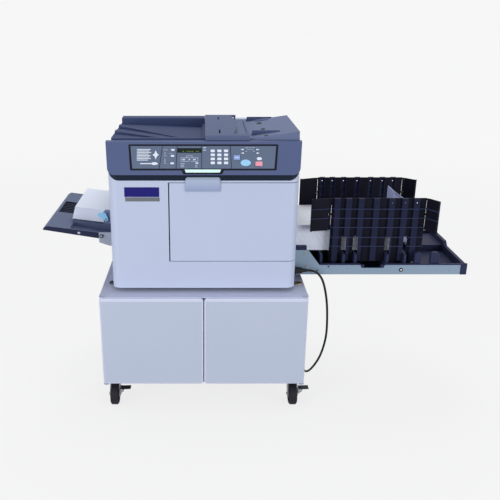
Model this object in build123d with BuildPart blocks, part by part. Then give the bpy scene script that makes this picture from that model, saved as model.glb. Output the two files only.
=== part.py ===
from build123d import *
import os
from math import cos, degrees, hypot, pi, radians, sin, tan

# A digital duplicator-copier on its cabinet. Millimetres, +Z up, +X to the delivery
# side. The front faces -Y, and the origin is on the floor under the cabinet's centre.

# Cabinet
cabinet_width = 700.0
cabinet_depth = 620.0
cabinet_top = 438.0
caster_height = 104.0
side_board = 16.0
shelf_board = 16.0
top_board = 18.0
back_board = 8.0
shelf_height = 150.0
door_board = 18.0
door_split = 3.0
door_reveal = 2.0
door_corner = 12.0
door_edge = 4.0
tab_thickness = 2.5

# Casters
wheel_radius = 39.0
wheel_width = 28.0
caster_x = 318.0
caster_y = 230.0
caster_trail = 28.0
leg_thickness = 3.5
leg_play = 1.0
axle_radius = 5.0
kingpin_radius = 8.0

# Machine body
body_width = 616.0
body_front = -262.0
body_back = 298.0
body_bottom = 452.0
body_top = 823.0
wall = 4.0
front_corner = 28.0
rear_corner = 20.0
side_seam = -225.0
rear_seam = 270.0
seam = 2.0
chin_corner = 37.0
casing_rise = 27.0
door_left = -111.0
door_low = 549.0
door_high = 815.0
foot_radius = 20.0
base_plate = 4.0

# Paper path
path_y = 17.0
frame_plate = 4.0
frame_half = 205.0
drum_radius = 84.0
drum_z = 736.0
drum_length = 330.0
nip = 0.5
press_radius = 24.0
shaft_radius = 8.0
press_shaft_radius = 6.0

# Control panel, from its lower front edge up its slope
panel_y = -270.0
panel_z = 843.0
panel_top = 939.0
panel_run = 60.0
panel_back = -185.0
panel_half_low = 306.0
panel_half_high = 316.0
panel_corner = 26.0
bezel_depth = 3.0
bezel_proud = 0.4
key_proud = 2.2
key_travel = 1.4
key_play = 0.35

# Scanner and document feeder
scanner_top = 925.0
scanner_half = 302.0
scanner_back = 250.0
glass_half = 222.0
glass_depth = 157.0
glass_thickness = 4.0
lid_gap = 2.0
lid_front = -184.0
lid_back = 177.0
lid_left = -302.0
lid_right = 313.0
lid_thickness = 18.0
lid_hinge_y = 190.0
lid_hinge_z = 934.0
lid_pin_radius = 3.0
feeder_left = 4.3
feeder_right = 148.0
tray_start = 155.0
tray_slope = 0.14
document_width = 297.0

# Paper feed tray, on its elevator
feed_half = 222.0
feed_tip = -543.0
feed_slope = 0.131
feed_rim_z = 652.0
feed_rim_x = -529.0
bed_half = 137.0
bed_left = -459.0
bed_right = -235.0
bed_z = 648.0
feed_paper_width = 257.0
widest_paper = 297.0
rod_radius = 4.0
rod_x = -282.0
bracket_plate = 3.0

# Delivery tray
deck_left = 310.0
deck_right = 918.0
deck_half = 187.0
deck_floor = 471.0
deck_rim = 500.0
rib_top = 534.0
rim_lip = 5.0
rim_left = 404.5
notch = (546.0, 632.0)
frame_steel = 2.0
channel_low = 465.0
fence_left = 440.0
fence_right = 764.0
fence_low = 501.0
fence_high = 731.0
fence_skin = 3.0
delivery_paper_width = 297.0
paper_play = 0.75
channel_xs = (458.0, 497.0, 540.0, 593.0, 645.0, 690.0, 730.0)
comb_xs = (489.0, 530.0, 641.0, 703.0)
lone_rib_x = 410.0
foot_xs = (458.0, 722.0)
flap_low = 615.0
stop_face = 680.0
stop_high = 726.0

# Fits
running = 0.05
clearance = 0.3

# Mains lead
lead_diameter = 8.0
inlet_y = -190.0
inlet_z = 487.0
inlet_cut = (30.0, 22.0)
socket_depth = 16.0
coil_x = 250.0
coil_y = 388.0
coil_radius = 50.0
coil_pitch = 8.6
lead_z = 4.1

front = -cabinet_depth / 2
back = cabinet_depth / 2
case_front = front + door_board + door_reveal
body_half = body_width / 2


def level(z):
    """Sketch plane at height z."""
    return Plane.XY.offset(z)


def facing_y(y):
    """Sketch plane with X and Z as its axes. Extruding goes towards the front."""
    return Plane.XZ.offset(-y)


def facing_x(x):
    """Sketch plane with Y and Z as its axes. Extruding goes to the right."""
    return Plane.YZ.offset(x)


def block(x, y, z, mode=Mode.ADD):
    """A rectangular block between two values of each of x, y and z."""
    with Locations(((x[0] + x[1]) / 2, (y[0] + y[1]) / 2, (z[0] + z[1]) / 2)):
        Box(x[1] - x[0], y[1] - y[0], z[1] - z[0], mode=mode)


def rod(axis, centre, radius, length, mode=Mode.ADD):
    """A round bar or hole along X, Y or Z."""
    turn = {"X": (0, 90, 0), "Y": (90, 0, 0), "Z": (0, 0, 0)}[axis]
    with Locations(centre):
        Cylinder(radius, length, rotation=turn, mode=mode)


def keep(piece, name):
    """Names a finished piece and writes its file."""
    piece.label = name
    export_step(piece, f"parts/{name}.step")


os.makedirs("parts", exist_ok=True)

# Hinge pins, as (axis, centre, radius, length), filled in by the pieces they join
pins = []

# Cabinet: one case of boards with a shelf, and two overlay doors on pivot pins

pin_inset = door_board / 2
cabinet_pin_radius = 3.0
cabinet_pin_length = 12.0
door_bore_depth = 11.0
door_bottom = caster_height + tab_thickness + door_reveal
door_top = cabinet_top - tab_thickness - door_reveal
door_mid_y = front + door_board / 2
door_pin_x = cabinet_width / 2 - pin_inset


def cabinet_case():
    half = cabinet_width / 2
    shelf = caster_height + shelf_height
    floor = caster_height + shelf_board
    ceiling = cabinet_top - top_board
    with BuildPart() as case:
        block((-half, half), (case_front, back), (caster_height, cabinet_top))
        fillet(case.faces().sort_by(Axis.Z)[-1].edges(), 3)
        inside = (-half + side_board, half - side_board)
        for low, high in ((floor, shelf), (shelf + shelf_board, ceiling)):
            block(inside, (case_front, back - back_board), (low, high), Mode.SUBTRACT)
        block((-24, 24), (case_front + 2, case_front + 14), (ceiling - 10, ceiling))
        for side in (-1, 1):
            for low in (caster_height, cabinet_top - tab_thickness):
                with BuildSketch(level(low)):
                    with Locations((side * door_pin_x, door_mid_y)):
                        Circle(pin_inset)
                    with Locations((side * door_pin_x, case_front)):
                        Rectangle(2 * pin_inset, 2 * (case_front - door_mid_y))
                extrude(amount=tab_thickness)
                centre = (side * door_pin_x, door_mid_y, low + tab_thickness / 2)
                rod("Z", centre, cabinet_pin_radius, tab_thickness, Mode.SUBTRACT)
    keep(case.part, "cabinet_case")


def cabinet_door(side, name):
    inner = side * door_split / 2
    outer = side * cabinet_width / 2
    pin_x = side * door_pin_x
    height = door_top - door_bottom
    with BuildPart() as door:
        with BuildSketch(level(door_bottom)) as plan:
            with Locations(((inner + pin_x) / 2, door_mid_y)):
                Rectangle(abs(pin_x - inner), door_board)
            split_edge = plan.vertices().group_by(Axis.Y)[0].sort_by(Axis.X)[0 if side > 0 else -1]
            fillet(split_edge, door_edge)
            with Locations((pin_x, door_mid_y)):
                Circle(pin_inset)
        extrude(amount=height)
        with BuildSketch(facing_x(-cabinet_width / 2)) as profile:
            with Locations((door_mid_y, door_bottom + height / 2)):
                Rectangle(door_board, height)
            fillet(profile.vertices().group_by(Axis.X)[0], door_edge)
        extrude(amount=cabinet_width, mode=Mode.INTERSECT)
        with BuildSketch(facing_y(front)):
            with Locations(((inner + outer) / 2, door_bottom + height / 2)):
                RectangleRounded(abs(outer - inner), height, door_corner)
        extrude(amount=-door_board, mode=Mode.INTERSECT)
        for z in (door_top - door_bore_depth / 2, door_bottom + door_bore_depth / 2):
            centre = (pin_x, door_mid_y, z)
            rod("Z", centre, cabinet_pin_radius + running, door_bore_depth, Mode.SUBTRACT)
    keep(door.part, name)
    upper = cabinet_top - cabinet_pin_length / 2
    lower = caster_height + cabinet_pin_length / 2 - 2
    for z in (upper, lower):
        pins.append(("Z", (pin_x, door_mid_y, z), cabinet_pin_radius, cabinet_pin_length))


cabinet_case()
cabinet_door(-1, "cabinet_door_left")
cabinet_door(1, "cabinet_door_right")

# Casters: bolted plate with its kingpin, pressed fork, wheel, and a brake at the front

plate_half = 32.0
plate_thickness = 3.0
fork_top = 97.0
fork_disc = 5.0
fork_radius = 24.0
race_gap = 0.4
leg_inner = wheel_width / 2 + leg_play
brake_x = 27.0
brake_z = 58.0
brake_pin_radius = 3.0
brake_hub = 5.5
brake_half = 11.0
ear = 3.0
bracket_skin = 2.0

caster_places = (
    ("front_left", -caster_x, -caster_y),
    ("front_right", caster_x, -caster_y),
    ("rear_left", -caster_x, caster_y),
    ("rear_right", caster_x, caster_y),
)


def caster_plates():
    low = caster_height - plate_thickness
    nut_top = fork_top - fork_disc - race_gap
    with BuildPart() as plates:
        for name, x, y in caster_places:
            with BuildSketch(level(low)):
                with Locations((x, y)):
                    RectangleRounded(2 * plate_half, 2 * plate_half, 6)
            extrude(amount=plate_thickness)
            with Locations((x, y, 0)):
                with GridLocations(50, 50, 2, 2):
                    with Locations((0, 0, low - 1.5)):
                        Cylinder(5, 3)
            rod("Z", (x, y, (fork_top + race_gap + low) / 2), 21, low - fork_top - race_gap)
            rod("Z", (x, y, (nut_top - 6 + low) / 2), kingpin_radius, low - nut_top + 6)
            rod("Z", (x, y, nut_top - 3), 12, 6)
    keep(plates.part, "caster_plates")


def caster_fork(place, x, y, braked):
    axle_y = y - caster_trail
    with BuildPart() as fork:
        rod("Z", (x, y, fork_top - fork_disc / 2), fork_radius, fork_disc)
        for side in (-1, 1):
            inner = x + side * leg_inner
            with BuildSketch(facing_x(inner)):
                with Locations((axle_y, wheel_radius)):
                    Circle(10)
                with Locations((y - 2, fork_top - fork_disc / 2)):
                    Rectangle(30, fork_disc)
                make_hull()
            extrude(amount=side * leg_thickness)
        rod("Z", (x, y, fork_top), kingpin_radius + running, 3 * fork_disc, Mode.SUBTRACT)
        rod("X", (x, axle_y, wheel_radius), axle_radius, 2 * (leg_inner + leg_thickness) + 6)
        if braked:
            leg_face = x + leg_inner + leg_thickness
            pin_length = 2 * (brake_half + clearance + ear)
            tall = (brake_z - 11, brake_z + 6)
            wide = (axle_y - pin_length / 2, axle_y + pin_length / 2)
            block((leg_face, leg_face + bracket_skin), wide, tall)
            for side in (-1, 1):
                near = axle_y + side * (brake_half + clearance)
                with BuildSketch(facing_y(max(near, near + side * ear))):
                    with Locations((x + brake_x, brake_z)):
                        Circle(brake_hub)
                    with Locations((leg_face + bracket_skin / 2, sum(tall) / 2)):
                        Rectangle(bracket_skin, tall[1] - tall[0])
                    make_hull()
                extrude(amount=ear)
            rod("Y", (x + brake_x, axle_y, brake_z), brake_pin_radius, pin_length)
    keep(fork.part, f"caster_fork_{place}")


def caster_wheel(place, x, y):
    half = wheel_width / 2
    axle = (x, y - caster_trail, wheel_radius)
    bore = axle_radius + running
    right = ((half, bore), (half, 13), (half - 5, 15), (half - 5, 27), (half - 1, 30), (half, 34))
    tread = ((half - 4, wheel_radius), (4 - half, wheel_radius))
    left = [(-a, r) for a, r in reversed(right)]
    with BuildPart() as wheel:
        with BuildSketch(Plane(origin=axle, x_dir=(1, 0, 0), z_dir=(0, -1, 0))):
            Polygon(*right, *tread, *left)
        revolve(axis=Axis(axle, (1, 0, 0)))
    keep(wheel.part, f"caster_wheel_{place}")


def caster_brake(place, x, y):
    axle_y = y - caster_trail
    with BuildPart() as brake:
        with BuildSketch(facing_y(axle_y + brake_half)):
            with Locations((x + brake_x, brake_z)):
                Circle(brake_hub)
                Polygon((-3, 4.5), (4, 7), (29, 8), (30, 5), (7, 3.5), (4, -3), align=None)
        extrude(amount=2 * brake_half)
        pin = (x + brake_x, axle_y, brake_z)
        rod("Y", pin, brake_pin_radius + running, 3 * brake_half, Mode.SUBTRACT)
    keep(brake.part, f"caster_brake_{place}")


caster_plates()
for place, x, y in caster_places:
    caster_fork(place, x, y, place.startswith("front"))
    caster_wheel(place, x, y)
    if place.startswith("front"):
        caster_brake(place, x, y)

# Machine body: steel chassis with the print drum, and moulded covers round it


def body_plan(z, inset=0.0):
    """The body's outline seen from above, at height z."""
    with BuildSketch(level(z)) as plan:
        with Locations((0, (body_front + body_back) / 2)):
            Rectangle(body_width - 2 * inset, body_back - body_front - 2 * inset)
        fillet(plan.vertices().group_by(Axis.Y)[0], front_corner - inset)
        fillet(plan.vertices().group_by(Axis.Y)[-1], rear_corner - inset)
    return plan.sketch


def body_shell(low, high):
    """A ring of casing wall between two heights, for the covers to be cut from."""
    extrude(body_plan(low), amount=high - low)
    extrude(body_plan(low, wall), amount=high - low, mode=Mode.SUBTRACT)


plate_front = path_y - frame_half
plate_back = path_y + frame_half
frame_x = 296.0
rod_offset = 9.5
rod_low = 500.0
rod_high = 780.0
press_z = drum_z - drum_radius - nip - press_radius
pan_top = body_bottom + base_plate


def chassis():
    with BuildPart() as frame:
        extrude(body_plan(body_bottom, wall), amount=base_plate)
        for outer, inward in ((plate_front, 1), (plate_back, -1)):
            with BuildSketch(facing_y(outer)) as plate:
                with Locations((0, (pan_top + body_top) / 2)):
                    Rectangle(2 * frame_x, body_top - pan_top)
                with Locations((-170, 560), (170, 560)):
                    RectangleRounded(150, 110, 12, mode=Mode.SUBTRACT)
                with Locations((-200, 740), (200, 740)):
                    Circle(36, mode=Mode.SUBTRACT)
                with Locations((0, drum_z)):
                    Circle(shaft_radius + running, mode=Mode.SUBTRACT)
                with Locations((0, press_z)):
                    Circle(press_shaft_radius + running, mode=Mode.SUBTRACT)
            extrude(amount=-inward * frame_plate)
        reach = (body_half - socket_depth - 10, body_half)
        tall = inlet_cut[1] / 2 + 6
        notch = (plate_front - 4, plate_front + frame_plate + 4)
        block(reach, notch, (inlet_z - tall, inlet_z + tall), Mode.SUBTRACT)
        for x, z in ((-262, 490), (262, 520), (-262, 800), (262, 800)):
            rod("Y", (x, path_y, z), 6, 2 * frame_half - frame_plate)
        for outer, side in ((plate_front, -1), (plate_back, 1)):
            y = outer + side * rod_offset
            reach = sorted((outer, y + side * 6))
            rod("Z", (rod_x, y, (rod_low + rod_high) / 2), rod_radius, rod_high - rod_low)
            for low in (rod_low - 8, rod_high):
                block((rod_x - 8, rod_x + 8), reach, (low, low + 8))
    keep(frame.part, "chassis")


def machine_feet():
    with BuildPart() as feet:
        for x in (-250, 250):
            for y in (body_front + 62, body_back - 58):
                with BuildSketch(level(cabinet_top)):
                    with Locations((x, y)):
                        Circle(foot_radius)
                with BuildSketch(level(body_bottom)):
                    with Locations((x, y)):
                        Circle(foot_radius - 4)
                loft()
    keep(feet.part, "machine_feet")


def print_drum():
    """Screen drum: a thin cylinder on spoked end flanges and a through shaft."""
    end = drum_length / 2
    with BuildPart() as drum:
        rod("Y", (0, path_y, drum_z), drum_radius, drum_length)
        rod("Y", (0, path_y, drum_z), drum_radius - 3, drum_length - 12, Mode.SUBTRACT)
        with BuildSketch(Plane(origin=(0, path_y - end, drum_z), x_dir=(1, 0, 0), z_dir=(0, -1, 0))):
            with PolarLocations(48, 6):
                Circle(17)
        extrude(amount=-drum_length, mode=Mode.SUBTRACT)
        rod("Y", (0, path_y, drum_z), shaft_radius, 2 * frame_half + 14)
        with BuildSketch(Plane(origin=(0, path_y - end, drum_z), x_dir=(1, 0, 0), z_dir=(0, -1, 0))):
            Circle(26)
        extrude(amount=10)
    keep(drum.part, "print_drum")


def press_roller():
    with BuildPart() as roller:
        rod("Y", (0, path_y, press_z), press_radius, drum_length - 10)
        rod("Y", (0, path_y, press_z), press_shaft_radius, 2 * frame_half + 12)
    keep(roller.part, "press_roller")


door_hinge_x = body_half - wall
door_hinge_y = side_seam - wall
door_pin = 1.5
door_boss = 12.0


def chin_outline(gap=0.0):
    """Front view of the chin strip, whose round lower corners the casing follows."""
    low, high = body_top + gap, panel_top
    with BuildSketch(facing_y(side_seam)) as outline:
        with Locations((0, (low + high) / 2)):
            Rectangle(body_width - 2 * gap, high - low)
        fillet(outline.vertices().group_by(Axis.Y)[0], chin_corner - gap)
    return outline.sketch


def front_cover():
    """Front of the casing, which rises at both corners outside the chin strip."""
    rise = body_top + casing_rise
    with BuildPart() as cover:
        body_shell(body_bottom, rise)
        block((-400, 400), (side_seam, 400), (400, 900), Mode.SUBTRACT)
        extrude(chin_outline(), amount=100, mode=Mode.SUBTRACT)
        opening = (door_left - seam * 2, 400)
        block(opening, (-400, 0), (door_low - seam, door_high + seam), Mode.SUBTRACT)
        block((-body_half + wall, door_left - 6), (-258, -246), (body_bottom + 60, body_bottom + 63))
        for low, high in ((door_low - seam - 30, door_low - seam), (door_high + seam, body_top)):
            rod("Z", (door_hinge_x, door_hinge_y, (low + high) / 2), wall, high - low)
        hole = door_low - seam - door_boss / 2
        centre = (door_hinge_x, door_hinge_y, hole)
        rod("Z", centre, door_pin, door_boss, Mode.SUBTRACT)
        centre = (door_hinge_x, door_hinge_y, (door_high + seam + body_top) / 2)
        rod("Z", centre, door_pin, body_top - door_high - seam, Mode.SUBTRACT)
    keep(cover.part, "front_cover")
    pins.append(("Z", (door_hinge_x, door_hinge_y, door_low - seam), door_pin, 2 * door_boss))
    upper = (body_top + door_high - door_boss) / 2
    length = body_top - door_high + door_boss - 1
    pins.append(("Z", (door_hinge_x, door_hinge_y, upper - 0.5), door_pin, length))


def front_door():
    """Wraps the right front corner, with ribs inside and a finger grip at its top."""
    grip_left, grip_right, grip_low, grip_high = -59.0, 53.0, 789.0, 835.0
    grip_depth = 5.5
    with BuildPart() as door:
        body_shell(door_low, door_high)
        block((-400, door_left), (-400, 400), (400, 900), Mode.SUBTRACT)
        block((-400, 400), (door_hinge_y, 400), (400, 900), Mode.SUBTRACT)
        middle = (door_low + door_high) / 2
        rod("Z", (door_hinge_x, door_hinge_y, middle), wall, door_high - door_low)
        inside = body_front + wall
        block((door_left, door_left + 4), (inside, inside + 12), (door_low, door_high))
        for z in (door_low + 4, middle, door_high - 6):
            block((door_left, body_half - front_corner - 8), (inside, inside + 9), (z, z + 2))
        with BuildSketch(facing_y(body_front)) as grip:
            with Locations(((grip_left + grip_right) / 2, (grip_low + grip_high) / 2)):
                Rectangle(grip_right - grip_left, grip_high - grip_low)
            fillet(grip.vertices().group_by(Axis.Y)[-1], 9)
        extrude(amount=grip_depth)
        relief = (body_front - 0.8, body_front)
        block((grip_left, grip_right), relief, (door_high, grip_high), Mode.SUBTRACT)
        front_face = door.faces().filter_by(Axis.Y).sort_by(Axis.Y)[0]
        chamfer(front_face.edges().sort_by(Axis.Z)[-1], 2.5)
        for z in (door_low + door_boss / 2, door_high - door_boss / 2):
            centre = (door_hinge_x, door_hinge_y, z)
            rod("Z", centre, door_pin + running, door_boss + 2, Mode.SUBTRACT)
    keep(door.part, "front_door")


window_half = widest_paper / 2 + 11.5
window_y = (path_y - window_half, path_y + window_half)
bracket_front = path_y - feed_half - bracket_plate
bracket_back = path_y + feed_half


def left_cover():
    """Side panel with the feed window, and a slot for each elevator bracket."""
    with BuildPart() as cover:
        with BuildSketch(facing_x(-body_half)):
            with Locations(((side_seam + seam + rear_seam - seam) / 2, (body_bottom + body_top) / 2)):
                Rectangle(rear_seam - side_seam - 2 * seam, body_top - body_bottom)
            with Locations(((window_y[0] + window_y[1]) / 2, 633)):
                RectangleRounded(window_y[1] - window_y[0], 206, 6, mode=Mode.SUBTRACT)
            for y in (bracket_front, bracket_back):
                with Locations((y + bracket_plate / 2, 591)):
                    Rectangle(bracket_plate + 4, 184, mode=Mode.SUBTRACT)
        extrude(amount=wall)
    keep(cover.part, "left_cover")


exit_y = (path_y - 157, path_y + 157)
exit_z = (548.0, 700.0)


def right_cover():
    """Side panel with the paper exit, the mains inlet's cut-out and a vent."""
    with BuildPart() as cover:
        with BuildSketch(facing_x(body_half - wall)):
            with Locations(((side_seam + rear_seam) / 2, (body_bottom + body_top) / 2)):
                Rectangle(rear_seam - side_seam - 2 * seam, body_top - body_bottom)
            with Locations((path_y, sum(exit_z) / 2)):
                Rectangle(exit_y[1] - exit_y[0], exit_z[1] - exit_z[0], mode=Mode.SUBTRACT)
            with Locations((inlet_y, inlet_z)):
                Rectangle(*inlet_cut, mode=Mode.SUBTRACT)
            with Locations((path_y + 60, 770)):
                with GridLocations(0, 10, 1, 5):
                    Rectangle(110, 4, mode=Mode.SUBTRACT)
        extrude(amount=wall)
    keep(cover.part, "right_cover")


def rear_cover():
    with BuildPart() as cover:
        body_shell(body_bottom, body_top)
        block((-400, 400), (-400, rear_seam), (400, 900), Mode.SUBTRACT)
        with BuildSketch(facing_y(body_back)):
            with Locations((-150, 700), (150, 700)):
                with GridLocations(0, 12, 1, 8):
                    Rectangle(150, 5, mode=Mode.ADD)
        extrude(amount=2 * wall, both=True, mode=Mode.SUBTRACT)
    keep(cover.part, "rear_cover")


chassis()
machine_feet()
print_drum()
press_roller()
front_cover()
front_door()
left_cover()
right_cover()
rear_cover()

# Control panel: sloping housing over a black chin strip, with a bezel and its keys

panel_rise = panel_top - panel_z
panel_length = hypot(panel_run, panel_rise)
panel_normal = (0, -panel_rise / panel_length, panel_run / panel_length)
panel_face = Plane(origin=(0, panel_y, panel_z), x_dir=(1, 0, 0), z_dir=panel_normal)
chin_high = panel_z + panel_corner + 4
chin_inset = 6.0
chin_reach = 30.0
bezel_outline = (
    (-242, 103.5),
    (239, 103.5),
    (231, 16),
    (64, 16),
    (58, 3),
    (-65, 3),
    (-71, 16),
    (-234, 16),
)
number_pitch = (21.2, 13.5)
number_centre = (49.8, 60.8)
number_size = (13.4, 8.4)


def housing_solid():
    """The panel housing's outer form, added to the piece being built."""
    over = panel_length * 0.25
    spread = (panel_half_high - panel_half_low) / panel_length
    far = panel_half_high + over * spread
    with BuildSketch(facing_x(-2 * body_half)) as side:
        Polygon(
            (panel_y, panel_z),
            (panel_back, panel_z),
            (panel_back, panel_top),
            (panel_y + panel_run, panel_top),
        )
    extrude(side.sketch, amount=4 * body_half)
    with BuildSketch(panel_face) as face:
        Polygon(
            (-panel_half_low, 0),
            (panel_half_low, 0),
            (far, panel_length + over),
            (-far, panel_length + over),
        )
        fillet(face.vertices().group_by(Axis.Y)[0], panel_corner)
    extrude(face.sketch, amount=-2 * panel_rise, mode=Mode.INTERSECT)
    with BuildSketch(panel_face.offset(-chin_inset)) as corners:
        with Locations((-body_half - 4, 0), (body_half + 4, 0)):
            Rectangle(2 * chin_corner, 2 * chin_reach)
    extrude(corners.sketch, amount=-2 * panel_rise, mode=Mode.SUBTRACT)


def key_outline(name, depth, grow=0.0):
    """One key's outline on the panel, at a height above its face."""
    with BuildSketch(panel_face.offset(depth)) as outline:
        if name == "start_key":
            with Locations((133.5, 40.6)):
                Ellipse(16.5 + grow, 10.8 + grow)
        elif name == "stop_key":
            with Locations((175.8, 37.5)):
                RectangleRounded(22.6 + 2 * grow, 14.8 + 2 * grow, 2.5)
        elif name == "mode_key":
            with Locations((105.6, 58.4)):
                RectangleRounded(20.3 + 2 * grow, 14.8 + 2 * grow, 1.5)
        else:
            arm, waist, flank = 15.5 + grow, 4.4 + grow, 10.5 + grow
            with Locations((-153.3, 67.5)):
                star = ((0, arm), (waist, waist), (flank, 0), (waist, -waist), (0, -arm))
                Polygon(*star, (-waist, -waist), (-flank, 0), (-waist, waist))
    return outline.sketch


moving_keys = ("start_key", "stop_key", "mode_key", "cross_pad")
key_floor = -bezel_depth - key_travel - 1.0


def panel_housing():
    with BuildPart() as housing:
        housing_solid()
        with BuildSketch(panel_face) as recess:
            Polygon(*bezel_outline)
            fillet(recess.vertices(), 3)
            offset(amount=0.2)
        extrude(amount=-bezel_depth, mode=Mode.SUBTRACT)
        for name in moving_keys:
            pocket = key_outline(name, -bezel_depth, 1.0)
            extrude(pocket, amount=key_floor - 3.0 + bezel_depth, mode=Mode.SUBTRACT)
    keep(housing.part, "panel_housing")


def chin_strip():
    """Black strip under the housing, whose ends show round its lower corners."""
    with BuildPart() as housing:
        housing_solid()
    with BuildPart() as chin:
        with BuildSketch(level(body_top)) as plan:
            with Locations((0, (body_front + side_seam) / 2)):
                Rectangle(2 * panel_half_low, side_seam - body_front)
            fillet(plan.vertices().group_by(Axis.Y)[0], front_corner)
        extrude(amount=chin_high - body_top)
        extrude(chin_outline(clearance), amount=100, mode=Mode.INTERSECT)
        behind = (side_seam, panel_back - 0.5)
        block((-panel_half_low, panel_half_low), behind, (body_top, chin_high))
        with BuildSketch(facing_x(-body_half)):
            slope = panel_run / panel_rise
            near = panel_y + chin_inset * panel_length / panel_rise
            far = near + (chin_high - panel_z) * slope
            Polygon((-300, chin_high), (-300, panel_z), (near, panel_z), (far, chin_high))
        extrude(amount=body_width, mode=Mode.SUBTRACT)
        add(housing.part, mode=Mode.SUBTRACT)
    keep(chin.part, "chin_strip")


def panel_bezel():
    with BuildPart() as bezel:
        with BuildSketch(panel_face.offset(-bezel_depth)) as outline:
            Polygon(*bezel_outline)
            fillet(outline.vertices(), 3)
        extrude(amount=bezel_depth + bezel_proud)
        for name in moving_keys:
            hole = key_outline(name, -bezel_depth, key_play)
            extrude(hole, amount=bezel_depth + 2, mode=Mode.SUBTRACT)
    keep(bezel.part, "panel_bezel")


def moving_key(name):
    """A key cap on its stem plate, which the bezel holds in."""
    height = bezel_depth + bezel_proud + key_proud
    with BuildPart() as key:
        extrude(key_outline(name, -bezel_depth - 1.0), amount=height + 1.0)
        top = key.faces().sort_by(Axis(panel_face.origin, panel_face.z_dir))[-1]
        chamfer(top.edges(), 0.6)
    keep(key.part, name)


def flat_keys():
    """Keys under the overlay film: numbers, functions, arrows, clear and enter."""
    with BuildPart() as keys:
        with BuildSketch(panel_face.offset(bezel_proud)):
            with Locations(number_centre):
                with GridLocations(*number_pitch, 3, 4):
                    RectangleRounded(*number_size, 1.5)
            with Locations((-98.9, 84.4), (-99.9, 64.1), (-100.7, 39.2)):
                RectangleRounded(11, 6, 2)
            with Locations((177.1, 54.7)):
                Ellipse(8.2, 5)
            with Locations((-157, 38.2)):
                Ellipse(10.5, 4.6)
            for x, s, side in ((122.2, 85.7, -1), (173.4, 85.7, 1), (123.1, 73.5, -1), (173.9, 73.5, 1)):
                with Locations((x, s)):
                    tip = ((-5 * side, -2.6), (-5 * side, 2.6), (5 * side, 0))
                    Polygon(*(tip if side < 0 else reversed(tip)))
        extrude(amount=1.0)
    keep(keys.part, "flat_keys")


def display():
    with BuildPart() as screen:
        with BuildSketch(panel_face.offset(bezel_proud)):
            with Locations((-46, 82.6)):
                Rectangle(76, 15)
        extrude(amount=0.8)
    keep(screen.part, "display")


def light_bar():
    with BuildPart() as lens:
        with BuildSketch(panel_face.offset(bezel_proud)):
            Polygon((-61, 18.4), (-57, 8.1), (51, 8.1), (55, 18.4))
        extrude(amount=2.0)
        top = lens.faces().sort_by(Axis(panel_face.origin, panel_face.z_dir))[-1]
        chamfer(top.edges(), 0.8)
    keep(lens.part, "light_bar")


panel_housing()
chin_strip()
panel_bezel()
for name in moving_keys:
    moving_key(name)
flat_keys()
display()
light_bar()

# Scanner under its lid, and the document feeder that the lid carries

ear_width = 6.0
lug_half = 11.0
lid_hinge_x = 220.0
ridge_front = 216.0
ridge_top = 948.0
lid_low = scanner_top + lid_gap
lid_top = lid_low + lid_thickness


def scanner_base():
    with BuildPart() as base:
        extrude(body_plan(body_top), amount=8)
        block((-400, 400), (-400, panel_back), (800, 900), Mode.SUBTRACT)
        with BuildSketch(level(body_top + 8)) as box:
            with Locations((0, (panel_back + scanner_back) / 2)):
                Rectangle(2 * scanner_half, scanner_back - panel_back)
            fillet(box.vertices().group_by(Axis.Y)[-1], 16)
        extrude(amount=scanner_top - body_top - 8)
        ridge_half = scanner_half - 16
        block((-ridge_half, ridge_half), (ridge_front, scanner_back), (scanner_top, ridge_top))
        fillet(base.faces().sort_by(Axis.Z)[-1].edges(), 6)
        cell = (scanner_top - 60, scanner_top)
        block((-glass_half + 8, glass_half - 8), (-glass_depth + 8, glass_depth - 8), cell, Mode.SUBTRACT)
        seat = (scanner_top - glass_thickness, scanner_top)
        block((-glass_half, glass_half), (-glass_depth, glass_depth), seat, Mode.SUBTRACT)
        for side in (-1, 1):
            for inner in (-lug_half - 1 - ear_width, lug_half + 1):
                left = side * lid_hinge_x + inner
                with BuildSketch(facing_x(left)):
                    with Locations((lid_hinge_y, lid_hinge_z)):
                        Circle(7)
                    with Locations((lid_hinge_y, (scanner_top + lid_hinge_z) / 2)):
                        Rectangle(14, lid_hinge_z - scanner_top)
                    with Locations((lid_hinge_y, lid_hinge_z)):
                        Circle(lid_pin_radius, mode=Mode.SUBTRACT)
                extrude(amount=ear_width)
    keep(base.part, "scanner_base")
    for side in (-1, 1):
        centre = (side * lid_hinge_x, lid_hinge_y, lid_hinge_z)
        pins.append(("X", centre, lid_pin_radius, 2 * (lug_half + 1 + ear_width)))


def platen_glass():
    with BuildPart() as glass:
        fit = glass_half - 0.2
        deep = glass_depth - 0.2
        block((-fit, fit), (-deep, deep), (scanner_top - glass_thickness, scanner_top))
    keep(glass.part, "platen_glass")


def ramp_z(x):
    """Height of the document tray's face."""
    return lid_top + tray_slope * (x - tray_start)


feeder_skin = 3.0
feeder_pin = 1.5
feeder_hinge_y = lid_back - 9
feeder_hinge_z = lid_top + 7
feeder_rib_x = 112.0
bar_depth = 58.0
bar_height = 20.0
well_depth = 12.0
ridge_rise = 8.0


def output_ridges():
    """Two slanting ridges that lift the sheets' left ends and die out to the right."""
    left, right = lid_left + 2, -45
    with BuildPart() as ridges:
        with BuildSketch(level(lid_top - well_depth - 1)):
            Polygon((left, 52), (left, 20), (right, -156), (right, -152))
            Polygon((left, -62), (left, -94), (-115, -168), (-115, -164))
        extrude(amount=well_depth + 1 + ridge_rise)
        with BuildSketch(facing_y(lid_back)):
            Polygon(
                (left, lid_top + ridge_rise),
                (left, lid_low + 2),
                (right, lid_low + 2),
                (right, lid_top - well_depth + 2),
            )
        extrude(amount=lid_back - lid_front, mode=Mode.INTERSECT)
    return ridges.part


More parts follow.
